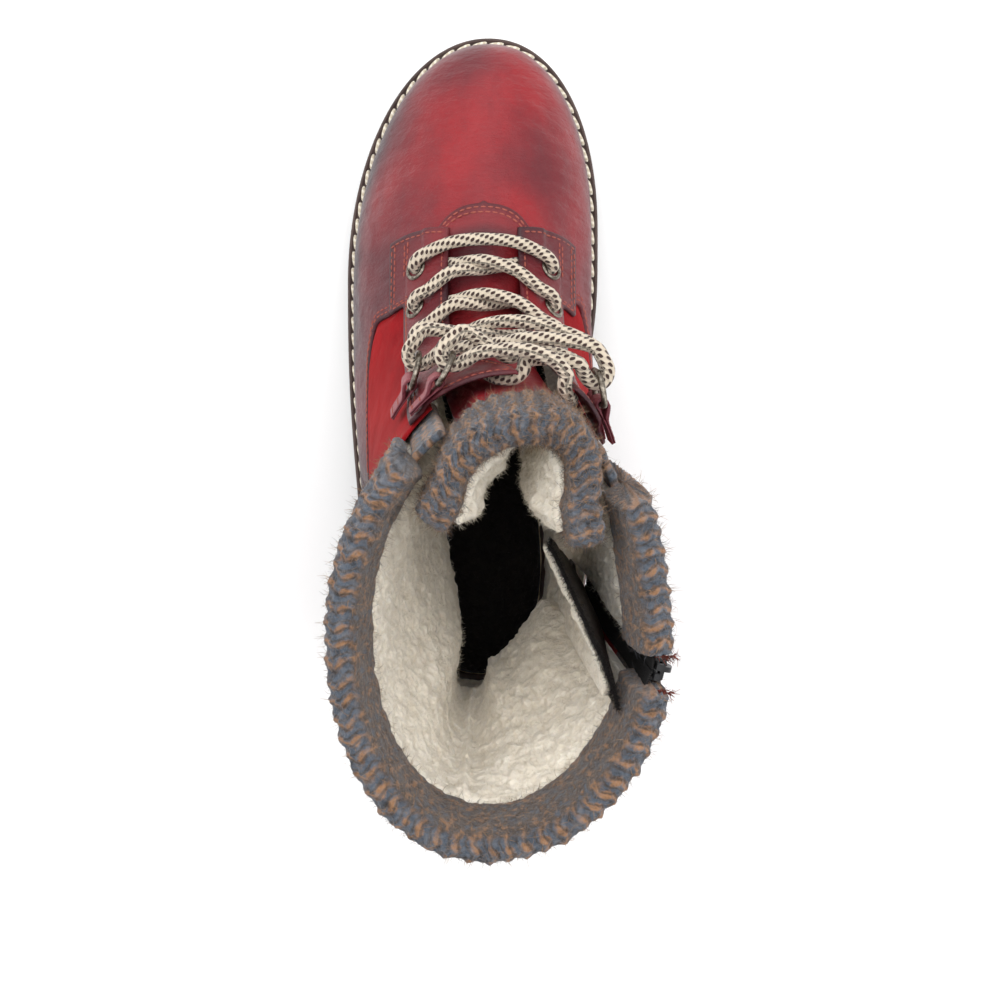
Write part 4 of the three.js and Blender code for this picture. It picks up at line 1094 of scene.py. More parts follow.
def hairs(
    piece: Piece, root: Array, out: Array, count: int, length: tuple[float, float], width: float,
    lean: float, seed: int, tone: Array | None = None
) -> None:
    """Adds loose fibres: thin tapering prisms that curve away from their roots.

    Args:
        piece: piece they go into.
        root: points they may grow from.
        out: normals there.
        count: how many.
        length: shortest and longest in mm.
        width: radius at the root in mm.
        lean: how far they lie down, 0 upright.
        seed: random seed.
        tone: attribute at each root.
    """
    r = np.random.default_rng(seed)
    pick = r.integers(0, len(root), count)
    p, n = root[pick], out[pick]
    side = unit(np.cross(n, r.normal(size=(count, 3))))
    size = r.uniform(*length, (count, 1))
    first = unit(n * r.uniform(0.25, 1, (count, 1)) + side * lean)
    bend = unit(first + 0.9 * unit(r.normal(size=(count, 3))))
    path = np.stack([p - 0.2 * n, p + first * size * 0.5, p + (first + bend) * size * 0.5], 1)
    other = np.cross(first, side)
    turn = np.arange(3) * TAU / 3
    thick = np.array([1.0, 0.75, 0.3])[None, :, None, None] * width
    ring = (
        np.cos(turn)[None, None, :, None] * side[:, None, None]
        + np.sin(turn)[None, None, :, None] * unit(other)[:, None, None]
    )
    many(
        piece, path[:, :, None] + thick * ring,
        r.uniform(0, 1, count) if tone is None else np.clip(
            tone[pick] + r.uniform(-0.35, 0.35, count), 0, 1
        )
    )


# ------------------------------------------------------------------------ sole
@dataclass
class Sole:
    """Stitched rubber sole: outsole with heel block and lugs, welt and its thread."""

    thick: float = 4.6
    stitch_out: float = 4.7
    pitch: float = 6.9
    lug: float = 3.0

    @staticmethod
    def ring(phi: Array, offset: Numbers) -> Array:
        """Plan outline: the foot of the upper moved outward level with the ground."""
        _, n, _ = FORM.frame(phi, np.full(np.shape(phi), 0.3))
        n = unit(n[..., :2])
        return  (
            FORM.surface(phi, np.zeros(np.shape(phi)))[..., :2] + n * np.asarray(offset)[..., None]
        )

    def even(self, n: int) -> Array:
        """Angles at even steps of length round the outline, from the heel round by the medial side."""
        dense = np.linspace(0, np.pi, 1600)
        sides = []
        for side in (1, -1):
            q = self.ring(side * dense, 6.0)
            s = run(q)
            sides.append(side * np.interp(np.linspace(0, s[-1], n + 1), s, dense))
        return np.concatenate([sides[0], sides[1][1:-1][::-1]])

    @staticmethod
    def ground(y: Array) -> Array:
        """Underside: flat heel, raised arch, flat tread, toe spring."""
        arch = 9 * smooth(34, 38, y) * (1 - smooth(58, 88, y))
        return arch + 8 * (np.maximum(0, y - 165) / 72) ** 2

    def groove(self, x: Array, y: Array) -> Array:
        """Depth of the cuts between the lugs: slanted bars at a pitch, left out of the middle."""
        w = np.where(
            y > 60, (y + 0.28 * np.abs(x) - 104) / 13.5, (y + 0.28 * np.abs(x) + 22) / 13.0
        )
        near = np.abs(w - np.round(w)) * 13.3
        cut = 1 - smooth(1.5, 2.3, near)
        there = np.where(y > 60, smooth(94, 98, y), smooth(-46, -42, y) * (1 - smooth(28, 31, y)))
        return self.lug * cut * there * smooth(6, 8, np.abs(x))

    def tread(self, name: str, profile: Array, high: Curve) -> Piece:
        """Outsole: side walls round the outline, a lugged underside and a plain top.

        Args:
            name: piece name.
            profile: rows of offset and share of the height.
            high: top height over y.

        Returns:
            The piece.
        """
        n = 300
        phi = self.even(n)
        offset = profile[:, 0][None, :]
        xy = self.ring(
            np.broadcast_to(phi[:, None], (2 * n, len(profile))),
            np.broadcast_to(offset, (2 * n, len(profile)))
        )
        bottom, top = self.ground(xy[..., 1]), high(xy[..., 1])
        share = profile[:, 1][None, :]
        cut = self.groove(xy[..., 0], xy[..., 1])
        bottom = bottom + cut * (1 - smooth(0, 0.5, share))
        z = bottom + (top - bottom) * share
        wall = np.concatenate([xy, z[..., None]], -1)
        u, v = lengths(wall)
        piece = Piece(name)
        piece.grid(wall, np.stack([u, v], -1), 0.0, wrap_i=True)
        for at, cells, under in ((0, 56, True), (-1, 4, False)):
            right = wall[:n + 1, at]
            left = np.concatenate([wall[:1, at], wall[n:, at][::-1]])
            t = np.linspace(0, 1, cells + 1)[None, :, None]
            p = right[:, None] * (1 - t) + left[:, None] * t
            if under:
                inside = self.ground(p[..., 1]) + self.groove(p[..., 0], p[..., 1])
                p[:, 1:-1, 2] = inside[:, 1:-1]
            else:
                p[:, 1:-1, 2] = high(p[:, 1:-1, 1])
            piece.grid(p, p[..., :2].copy(), 0.0, flip=under)
        return piece

    def make(self) -> None:
        """Builds the sole's pieces."""
        split = lambda y: seat(y) - 2 * GAP - self.thick
        piece = self.tread("outsole_tread", TREAD_WALL, split)
        weld(piece.build("boot", Finish.RUBBER, "sole_rubber", ("outsole",)))
        phi = self.even(420)
        ring = np.broadcast_to(phi[:, None], (len(phi), len(WELT_SECTION)))
        xy = self.ring(ring, np.broadcast_to(WELT_SECTION[:, 0], ring.shape))
        z = seat(xy[..., 1]) - GAP + WELT_SECTION[:, 1]
        p = np.concatenate([xy, z[..., None]], -1)
        u, v = lengths(p)
        piece = Piece("welt_band")
        piece.grid(p, np.stack([u, v], -1), 0.0, wrap_i=True, wrap_j=True)
        piece.build("boot", Finish.WELT, "welt_rubber", ("welt",))
        path = self.ring(phi, self.stitch_out)
        path = np.vstack([path, path[:1]])
        path = np.concatenate([path, (seat(path[:, 1]) - GAP + 0.25)[:, None]], -1)
        length = np.linalg.norm(np.diff(path, axis=0), axis=1).sum()
        pitch = length / round(length / self.pitch)
        piece = Piece("welt_stitches")
        row(
            piece, path, np.tile([0.0, 0.0, 1.0], (len(path), 1)), pitch, (6.35, 2.0, 1.7), 0.0,
            0.16
        )
        piece.build("boot", Finish.THREAD, "stitch_thread", ("welt_stitching",))
        self.footbed()

    def footbed(self) -> None:
        """Felt-topped footbed: a crowned pad whose edge is rolled down. Its felt is near-black: a dark insole, made
        darker also as painted shade for the deep inside of the boot.
        """
        n, m = 150, 40
        phi = self.even(n)
        edge = self.ring(phi, -6.3)
        right, left = edge[:n + 1], np.concatenate([edge[:1], edge[n:][::-1]])
        t = (0.5 - 0.5 * np.cos(np.linspace(0, np.pi, m + 1)))[None, :, None]
        xy = right[:, None] * (1 - t) + left[:, None] * t
        k = np.sin(np.linspace(0, np.pi, n + 1))[:, None]
        bulge = np.sqrt(
            np.clip(4 * t[..., 0] * (1 - t[..., 0]), 0, 1)
        ) * np.clip(k * 3, 0, 1) ** 0.5
        low = seat(xy[..., 1]) + 2.5
        tuft = Ripple(5, 11)(np.concatenate([xy, 0 * xy[..., :1]], -1))
        high = low + 0.8 + 3.6 * bulge + 0.25 * tuft * bulge
        piece = Piece("footbed_pad")
        top = np.concatenate([xy, high[..., None]], -1)
        base = np.concatenate([xy, low[..., None]], -1)
        loop = np.concatenate([top, base[:, ::-1]], 1)
        uv = loop[..., :2].copy()
        piece.grid(loop[1:-1], uv[1:-1], 0.0, wrap_j=True, cap=True)
        obj = piece.build("boot", Finish.FELT_AND_SHADE, "footbed_felt", ("footbed",))


def weld(obj: bpy.types.Object) -> None:
    """Merges touching rows and turns every face outward."""
    b = bmesh.new()
    b.from_mesh(obj.data)
    bmesh.ops.remove_doubles(b, verts=b.verts, dist=2e-6)
    bmesh.ops.dissolve_degenerate(b, edges=b.edges, dist=1e-7)
    bmesh.ops.recalc_face_normals(b, faces=b.faces)
    b.to_mesh(obj.data)
    b.free()


# ----------------------------------------------------------------------- upper
def vamp_top(phi: Array) -> Array:
    """Upper edge of the vamp: a wing by the throat, falling toward the heel."""
    a = np.degrees(np.abs(phi))
    return 4.3 + 0.38 * smooth(27, 44, a) - 0.4 * smooth(50, 74, a) - 1.2 * smooth(100, 146, a)


def stay_in(s: Array, level: Array) -> Array:
    """Depth of a stay's inner face."""
    raised = STAY_LIFT + (STAY_TOP_LIFT - STAY_LIFT) * smooth(6.1, 6.5, level)
    down = 1 - np.maximum(smooth(4.3, 4.58, level), 0.68 * (1 - smooth(21, 24, np.abs(s))))
    return raised + (OVERLAY - raised) * np.maximum(down, smooth(28.2, 31.5, np.abs(s)))


def stay_inner(level: Array, side: int) -> Array:
    """Distance of a stay's inner edge from the centre line; side is -1 for lateral."""
    return 11.5 + (-10.5 if side < 0 else 3.5) * smooth(6.4, 7.6, level)


def stay_outer(level: Array) -> Array:
    """Distance of a stay's outer edge from the centre line."""
    return 33 + 4 * smooth(6.2, 7.1, level) + 10 * (1 - smooth(4.7, 4.92, level))


def behind(phi: Array) -> Array:
    """The same place counted round by the back."""
    return phi + TAU


@dataclass
class Upper:
    """Leather and suede of the boot with its seams."""

    crease: Ripple = field(default_factory=lambda: Ripple(13, 3))
    fine: Ripple = field(default_factory=lambda: Ripple(4.2, 4))

    def creases(self, points: Array, edge: Array, level: Array) -> Array:
        """Soft dents, deeper where the foot bends."""
        bend = 0.10 + 0.22 * np.exp(-(((level - 3.3) / 0.8) ** 2))
        across_ = np.sin(points[..., 1] * 0.75 + 2.2 * self.crease(points * 0.5))
        return  (
            bend * (
                0.6 * self.crease(points) + 0.45 * across_ * (level > 1)
            ) * smooth(0.2, 1.6, level)
            + 0.035 * self.fine(points)
        )

    def nap(self, points: Array, edge: Array, level: Array) -> Array:
        """Slight unevenness of suede."""
        return 0.16 * self.crease(points) + 0.05 * self.fine(points)

    def vamp_burnish_and_shade(self, points: Array, edge: Array) -> Array:
        """Dark burnish at the foot of the upper. The toe's sides and tip are darker, partly from burnish and partly as
        painted shade where they turn away from the light. Bright in the middle.
        """
        height = points[..., 2] - seat(points[..., 1])
        foot = 1 - smooth(7, 38, height)
        # Toe's sides and tip: partly burnish, partly painted shade where the leather slopes away from the light.
        side = (
            smooth(12, 42, np.abs(points[..., 0] - 2)) * 0.6
            + 0.35 * smooth(196, 226, points[..., 1])
        )
        return np.clip(
            0.95 * foot + side + 0.25 * self.crease(points * 0.35) + 0.3 * np.clip(
                1 - edge / 3, 0, 1
            ),
            0, 1
        )

    def panel(self, name: str, start: Curve, end: Curve, node: str, width: float) -> None:
        """A suede panel from the vamp's edge to the collar."""
        a, b = spread(int(width), width)[:, None], spread(80, 80)[None, :]
        probe = start(np.full_like(a, 4.0)) * (1 - a) + end(np.full_like(a, 4.0)) * a
        near = np.abs((probe + np.pi) % TAU - np.pi)
        level = (vamp_top(near) - 0.12) * (1 - b) + 7.28 * b
        phi = start(level) * (1 - a) + end(level) * a
        edge = vamp_top(np.abs((phi + np.pi) % TAU - np.pi))
        inner = -0.25 + (BASE + 0.25) * smooth(0.01, 0.13, level - edge)
        piece = Patch(name, phi, level, inner, 1.2, relief=self.nap, round_mm=1.0).make()
        piece.build("boot", Finish.SUEDE, "suede", (node,))

    def make(self) -> None:
        """Builds vamp, heel, suede panels, patch, backstay and stays."""
        e = VAMP_END
        a = -e + 2 * e * spread(230, 360)
        phi = a[:, None]
        b = spread(105, 105)[None, :]
        level = 0.03 * (1 - b) + vamp_top(phi) * b
        phi = np.broadcast_to(phi, level.shape)
        piece = Patch(
            "vamp_leather", phi, level, BASE, LEATHER, relief=self.creases, wear_and_shade=self.vamp_burnish_and_shade
        ).make()
        piece.build("boot", Finish.VAMP, "burnished_leather", ("vamp",))
        a = e + VAMP_GAP + (TAU - 2 * e - 2 * VAMP_GAP) * spread(130, 190)[:, None]
        near = np.minimum(a, TAU - a)
        b = spread(50, 45)[None, :]
        level = 0.03 * (1 - b) + vamp_top(near) * b
        piece = Patch(
            "heel_leather", np.broadcast_to(a, level.shape), level, BASE, LEATHER,
            relief=self.creases, wear_and_shade=self.vamp_burnish_and_shade
        ).make()
        piece.build("boot", Finish.VAMP, "burnished_leather", ("heel_quarter",))
        lateral = lambda v: behind(FORM.across(-FRONT_EDGE, v))
        medial = lambda v: FORM.across(FRONT_EDGE, v)
        self.panel(
            "suede_outer", lambda v: np.full(v.shape, np.pi + BACK_GAP), lateral, "suede_lateral",
            120
        )
        self.panel(
            "suede_inner_rear", lambda v: FORM.from_zip(ZIP_SLOT, v),
            lambda v: np.full(v.shape, np.pi - BACK_GAP), "suede_medial_rear", 50
        )
        self.panel(
            "suede_inner_front", medial, lambda v: FORM.from_zip(-ZIP_SLOT, v),
            "suede_medial_front", 30
        )
        self.zip_tab()
        self.patch()
        self.backstay()
        for name, side in (("lateral", -1), ("medial", 1)):
            self.stay(name, side)

    @staticmethod
    def zip_tab() -> None:
        """Small tab that closes the slot under the zip's lower end."""
        z = FORM.surface(FORM.zip_phi, FORM.levels)[:, 2]
        top = float(np.interp(ZIP_BOTTOM[2] + 0.94 * ZIP_START - 1.2, z, FORM.levels))
        b = spread(16, 10)[None, :]
        phi = np.interp(4.0, FORM.levels, FORM.zip_phi)
        low = float(vamp_top(np.array(phi))) - 0.14
        level = np.repeat(low + (top - low) * b, 19, 0)
        phi = FORM.from_zip(np.linspace(-5.4, 5.4, 19)[:, None], level)
        patch = Patch("zip_end_tab", phi, level, -0.25, 1.1, round_mm=0.8)
        patch.make().build("boot", Finish.OVERLAY, "dark_leather")

    def patch(self) -> None:
        """Half-moon at the throat with its double row of thread."""
        s = (-20.5 + 41 * spread(80, 41))[:, None]
        low = (
            THROAT_LEVEL + THROAT_RISE * (np.abs(s) / 20.5) ** 3.4
            - 0.03 * np.exp(-((s / 1.1) ** 2))
        )
        level = low + (4.47 - low) * spread(20, 12)[None, :]
        phi = FORM.across(s, level)
        piece = Patch(
            "throat_half_moon", phi, level, OVERLAY, 1.1, relief=self.creases, round_mm=0.8
        ).make()
        piece.build("boot", Finish.OVERLAY, "dark_leather", ("throat_patch",))
        thread = Seams("throat_thread")
        line = np.linspace(-18.6, 18.6, 200)
        for k in (0.055, 0.115):
            v = THROAT_LEVEL + THROAT_RISE * (np.abs(line) / 19.6) ** 3.4 + k
            use = v < 4.46
            seam(thread, FORM.across(line[use], v[use]), v[use], OVERLAY + 1.15)
        thread.sew()

    @staticmethod
    def half_width(level: Array) -> Array:
        """Half the backstay's width as an angle, narrower above the heel."""
        return 0.34 + (0.2 - 0.34) * smooth(3, 4.4, level)

    def backstay(self) -> None:
        """Strip up the back with a seam down each side."""
        v = (3.0 + 4.2 * spread(90, 95))[None, :]
        half = self.half_width(v)
        a = (-1 + 2 * spread(28, 18))[:, None]
        piece = Patch(
            "backstay_leather", np.pi + half * a, np.broadcast_to(v, (len(a), v.shape[1])),
            OVERLAY + 0.15, 1.15, relief=self.creases
        ).make()
        piece.build("boot", Finish.OVERLAY, "dark_leather", ("backstay",))
        thread = Seams("backstay_thread")
        v = np.linspace(3.08, 7.15, 160)
        half = self.half_width(v)
        for side in (-1, 1):
            seam(thread, np.pi + side * half * 0.82, v, OVERLAY + 1.33)
        for sign in (1, -1):
            f = sign * np.linspace(0.5, 1.9, 140)
            for drop in (0.06, 0.12):
                seam(thread, f, vamp_top(f) - drop, BASE + LEATHER + SEAM_PROUD)
        thread.sew()

    def stay(self, name: str, side: int) -> None:
        """Facing with three eyelets: a strip, drilled, with double seams."""
        a = spread(46, 24)[:, None]
        b = spread(170, 125)[None, :]
        start, end = STAY_FOOT - STAY_FOOT_FALL * a, STAY_HEAD - STAY_HEAD_FALL * a
        level = start * (1 - b) + end * b
        s = stay_inner(level, side) * (1 - a) + stay_outer(level) * a
        phi = FORM.across(side * s, level)
        wear_and_shade = lambda p, edge: np.clip(
            0.3 + 0.5 * np.clip(1 - edge / 4, 0, 1) + 0.3 * self.crease(p * 0.5), 0, 1
        )
        piece = Patch(
            f"facing_{name}", phi, level, stay_in(s, level), STAY_THICKNESS, relief=self.creases,
            wear_and_shade=wear_and_shade, round_mm=1.0
        ).make()
        obj = piece.build("boot", Finish.OVERLAY, "burnished_leather", (f"stay_{name}",))
        cutter = Piece("cutter")
        for k, v in enumerate(EYELET_LEVELS):
            at, x, y, n = self.eyelet_frame(side, v)
            turn = np.linspace(0, TAU, 32, endpoint=False)
            depth = np.array([-5.0, 4.0])[:, None, None]
            ring = (EYELET_R + 0.3) * (np.cos(turn)[:, None] * x + np.sin(turn)[:, None] * y)
            p = at + ring[None] + depth * n
            cutter.grid(p, p[..., :2].copy(), wrap_j=True, cap=True)
            self.eyelet(f"{name}_{k + 1}", at, x, y, n)
        drill(obj, cutter)
        thread = Seams(f"facing_thread_{name}")
        v = np.linspace(4.0, 7.22, 280)
        lines = [(stay_outer(v) - inset, v) for inset in (2.2, 4.4)]
        q = np.linspace(13.5, 40.5, 130)
        lines.append((q, STAY_FOOT - STAY_FOOT_FALL * (q - 11.5) / 31.5 + 0.07))
        lines += [(np.full(40, x), np.linspace(4.14, 4.5, 40)) for x in (30.5, 32.3)]
        q = np.linspace(stay_inner(np.array(7.6), side) + 2, 33.5, 120)
        start = stay_inner(np.array(7.6), side)
        lines.append((q, STAY_HEAD - STAY_HEAD_FALL * (q - start) / (37 - start) - 0.07))
        v = np.linspace(4.6, 7.6, 240)
        lines.append((stay_inner(v, side) + 1.8, v))
        for q, v in lines:
            seam(thread, FORM.across(side * q, v), v, stay_in(q, v) + STAY_THICKNESS + SEAM_PROUD)
        thread.sew()

    @staticmethod
    def eyelet_frame(side: int, level: float) -> tuple[Array, Array, Array, Array]:
        """Middle of an eyelet on the stay's face and its three directions."""
        s = side * EYELET_ACROSS
        v = np.array(level)
        phi = FORM.across(s, v)
        _, n, up = FORM.frame(phi, v)
        x = unit(np.cross(up, n))
        y = unit(np.cross(n, x))
        return FORM.skin(phi, v, stay_in(s, v) + STAY_THICKNESS), x, y, n

    def eyelet(self, name: str, at: Array, x: Array, y: Array, n: Array) -> None:
        """Rolled metal eyelet: a profile turned about its axis."""
        r, t = EYELET_R, STAY_THICKNESS
        profile = np.array(
            [
                [r, -t - 0.5], [r + 0.4, -t - 0.5], [r + 0.4, 0.0], [r + 1.35, 0.02],
                [r + 1.5, 0.12], [r + 1.5, 0.32], [r + 1.3, 0.62], [r + 0.95, 0.86],
                [r + 0.55, 0.95], [r + 0.2, 0.85], [r + 0.02, 0.55], [r, 0.1]
            ]
        )
        turn = np.linspace(0, TAU, 56, endpoint=False)
        radial = np.cos(turn)[:, None] * x + np.sin(turn)[:, None] * y
        p = at + radial[:, None] * profile[None, :, :1] + n * profile[None, :, 1:]
        piece = Piece(f"eyelet_ring_{name}")
        piece.grid(p, p[..., :2].copy(), wrap_i=True, wrap_j=True)
        piece.build("boot", Finish.METAL, "gunmetal", (f"eyelet_{name}",))


def drill(obj: bpy.types.Object, cutter: Piece) -> None:
    """Cuts holes through a panel and keeps the result as its mesh."""
    tool = cutter.build("boot", Finish.METAL, "gunmetal")
    mod = obj.modifiers.new("holes", "BOOLEAN")
    mod.operation, mod.solver, mod.object = "DIFFERENCE", "EXACT", tool
    view = bpy.context.evaluated_depsgraph_get()
    made = bpy.data.meshes.new_from_object(
        obj.evaluated_get(view), preserve_all_data_layers=True, depsgraph=view
    )
    obj.modifiers.clear()
    old, obj.data = obj.data, made
    bpy.data.meshes.remove(old)
    bpy.data.objects.remove(tool)


# ---------------------------------------------------------------------- D-rings
@dataclass
class Rings:
    """Four D-rings in folded leather straps."""

    width: float = 8.6
    wire: float = RING_WIRE_R
    marks: dict[str, tuple] = field(default_factory=dict)

    @staticmethod
    def place(side: int, s_row: float, level: float) -> tuple[Array, Array, Array, Array]:
        """Middle of the straight bar and the directions toward the gap, up and out."""
        v = np.array(level)
        s = side * s_row
        phi = FORM.across(s, v)
        p, n, up = FORM.frame(phi, v)
        centre = unit(np.cross(n, up))
        inward = FORM.surface(FORM.across(s * 0.9, v), v) - p
        centre = centre * np.sign(centre @ inward)
        return FORM.skin(phi, v, RING_LIFT), centre, up, n

    def make(self) -> None:
        """Builds rings and straps."""
        for name, side in (("lateral", -1), ("medial", 1)):
            for row_name, s_lat, s_med, level in RING_ROWS:
                at, c, up, n = self.place(side, s_lat if side < 0 else s_med, level)
                key = f"{name}_{row_name}"
                self.marks[key] = (at, c, up, n)
                self.ring(key, at, c, up, n)
                self.strap(key, at, c, up, n)

    def ring(self, key: str, at: Array, c: Array, up: Array, n: Array) -> None:
        """The wire: a D in the tilted plane, carried as a tube."""
        tilted = c * np.cos(RING_TILT) + n * np.sin(RING_TILT)
        h = RING_HEIGHT / 2
        a = np.pi * np.arange(13) / 12
        x = 2.2 + (RING_DEPTH - 2.2) * np.sin(a) ** 0.8
        y = -h * np.cos(a)
        x = np.r_[x, 0.55, 0, 0, 0, 0.55]
        y = np.r_[y, h * 0.93, h * 0.75, 0, -h * 0.75, -h * 0.93]
        pts = at + x[:, None] * tilted + y[:, None] * up
        piece = Piece(f"ring_wire_{key}")
        tube(piece, spline(pts, 8, True), self.wire - 0.1, 18, np.cross(tilted, up), closed=True)
        piece.build(f"d_ring_{key}", Finish.METAL, "gunmetal", (f"d_ring_{key}",))

    def strap(self, key: str, at: Array, c: Array, up: Array, n: Array) -> None:
        """Leather folded round the bar: its section carried across the width with rounded sides."""
        big, small = self.wire + 1.15, self.wire + 0.15
        turn = np.linspace(-np.pi / 2, np.pi / 2, 15)
        outer = np.concatenate([
            np.stack([np.linspace(-13, -1, 14), np.full(14, -big)], -1),
            np.stack([big * np.cos(turn), big * np.sin(turn)], -1),
            np.stack(
                [np.linspace(-1, -6.5, 8), big - 3.0 * smooth(-1, -6.5, np.linspace(-1, -6.5, 8))],
                -1
            )[1:],
            np.stack([np.linspace(-7.5, -13, 7), np.full(7, big - STRAP_FOLD)], -1),
        ])
        back = np.linspace(np.pi / 2, -np.pi / 2, 13)
        mid = (big - STRAP_FOLD - big) / 2
        inner = np.concatenate([
            np.stack([np.linspace(-13, -5, 7), np.full(7, mid + 0.05)], -1),
            np.stack([np.linspace(-4, -1, 4), np.linspace(mid + 0.35, small * 0.98, 4)], -1),
            np.stack([small * np.cos(back), small * np.sin(back)], -1),
            np.stack([np.linspace(-1, -4, 4), np.linspace(-small * 0.98, mid - 0.25, 4)], -1),
            np.stack([np.linspace(-5, -13, 7), np.full(7, mid - 0.05)], -1),
        ])
        section = np.concatenate([outer, inner])
        w = self.width / 2
        wide = np.array(
            [
                -w, -w + 0.08, -w + 0.3, -w + 0.7, *np.linspace(-w + 1.4, w - 1.4, 7), w - 0.7,
                w - 0.3, w - 0.08, w
            ]
        )
        shrink = np.interp(w - np.abs(wide), [0, 0.08, 0.3, 0.7], [0.28, 0.14, 0.04, 0])
        tangent = unit(
            np.concatenate(
                [np.roll(section, -1, 0) - np.roll(section, 1, 0), np.zeros((len(section), 1))], -1
            )
        )
        inward = np.stack([-tangent[:, 1], tangent[:, 0]], -1)
        p2 = section[None] + shrink[:, None, None] * inward[None]
        p2[..., 1] -= np.minimum(0, p2[..., 0]) ** 2 / STRAP_BEND
        p = at + p2[..., :1] * c + p2[..., 1:] * n + wide[:, None, None] * up
        piece = Piece(f"ring_loop_{key}")
        u, v = lengths(p)
        piece.grid(
            p, np.stack([u, v], -1), 0.25 + 0.5 * (shrink[:, None] > 0.03) * np.ones(len(section)),
            wrap_j=True, cap=True
        )
        piece.build("boot", Finish.STRAP, "strap_leather", (f"ring_strap_{key}",))
        thread = Seams(f"ring_thread_{key}")
        line = np.linspace(-w + 1.2, w - 1.2, 30)
        for x in (-8.0, -11.5):
            path = at + x * c + (big - 3.05 - x * x / STRAP_BEND) * n + line[:, None] * up
            row(thread, path, np.broadcast_to(n, path.shape), 2.2, (1.8, 0.6, 0.5), 0.05)
        thread.sew()


# ------------------------------------------------------------- knit and fleece
def facing(p: Array, middle: Array) -> Array:
    """Unit normals of a grid that point away from a middle line, one per row."""
    n = unit(np.cross(np.gradient(p, axis=0), np.gradient(p, axis=1)))
    sign = np.sign(((p - middle[:, None]) * n).sum(-1).mean())
    return n * (sign if sign else 1.0)


@dataclass
class KnitRoll:
    """A padded knit edge: a closed section carried round the boot.

    The section is a list of level, depth and rise. Ribs are a sine over the
    distance round, crossed by slanted loops, and both fade where it is felted.
    """

    name: str
    start: Curve
    end: Curve
    section: Array
    body: str
    node: str
    ribbed: tuple[float, float]
    fold: Curve
    round_mm: float = 3.0
    columns: int = 400
    step: float = 0.62
    wale: float = 5.2
    seed: int = 5
    fibres: int = 5000

    def make(self) -> None:
        """Builds the roll and its loose fibres."""
        s = spline(np.vstack([self.section, self.section[:1]]), 12)
        scale = np.array([27.0, 1.0, 1.0])
        path = resample(s * scale, self.step) / scale
        level, depth, rise = path[:-1].T
        a = np.linspace(0, 1, self.columns)[:, None]
        at = lambda v: self.start(v) * (1 - a) + self.end(v) * a
        middle = np.array([level.mean(), depth.mean(), rise.mean()])
        top = FORM.surface(at(np.array([[8.7]]))[:, 0], np.full(self.columns, 8.7))
        u = run(top)
        t = np.clip(np.minimum(u, u[-1] - u) / self.round_mm, 0, 1)[:, None]
        shrink = 0.12 + 0.88 * np.sqrt(np.clip(1 - (1 - t) ** 2, 0, 1))
        lv = middle[0] + (level[None] - middle[0]) * shrink
        dp = middle[1] + (depth[None] - middle[1]) * shrink - self.fold(a)
        rs = np.maximum(middle[2] + (rise[None] - middle[2]) * shrink, 0)
        lv = np.clip(lv, 3, TOP)
        phi = at(lv)
        p = FORM.skin(phi, lv, dp, rs)
        v = run(path[:-1] * scale)
        centre = p.mean(1)
        n = facing(p, centre)
        j = np.arange(len(level)) / len(level)
        band = (
            smooth(self.ribbed[0] - 0.03, self.ribbed[0], j)
            * (1 - smooth(self.ribbed[1], self.ribbed[1] + 0.03, j))
        )
        tone = np.broadcast_to(band, lv.shape)
        wob = Ripple(18, self.seed)(p)
        uu = u[:, None] + 0.8 * wob
        rib = 0.5 + 0.5 * np.sin(TAU * uu / self.wale)
        saw = np.abs(uu / self.wale % 1 - 0.5) * 2
        loop = 0.5 + 0.5 * np.sin(TAU * (v[None] / 2.7 + 0.9 * saw))
        tuft = Ripple(2.6, self.seed + 1)(p) * 0.22 + Ripple(6.5, self.seed + 2)(p) * 0.3
        p = p + n * (tone * (0.7 * rib ** 0.8 + 0.6 * loop - 0.8) + tuft)[..., None]
        piece = Piece(self.name)
        uv = np.stack(np.broadcast_arrays(uu, v[None]), -1)
        piece.grid(p, uv, tone, wrap_j=True, cap=True)
        obj = piece.build(self.body, Finish.KNIT, "knit", (self.node,), attribute="tone")
        out = facing(p, centre)
        seen = (
            (depth[None] > -13) & (rise[None] > -1) & (np.broadcast_to(j, lv.shape) > 0.0)
        ).reshape(-1)
        wool = Piece(self.name + "_fibres")
        colour = np.clip(0.5 + 0.5 * np.sin(TAU * uu / self.wale), 0, 1) * np.ones_like(lv)
        hairs(
            wool, p.reshape(-1, 3)[seen], out.reshape(-1, 3)[seen], self.fibres, (1.6, 4.6), 0.075,
            1.3, self.seed, colour.reshape(-1)[seen]
        )
        wool.build(self.body, Finish.WOOL, "knit", attribute="tone")


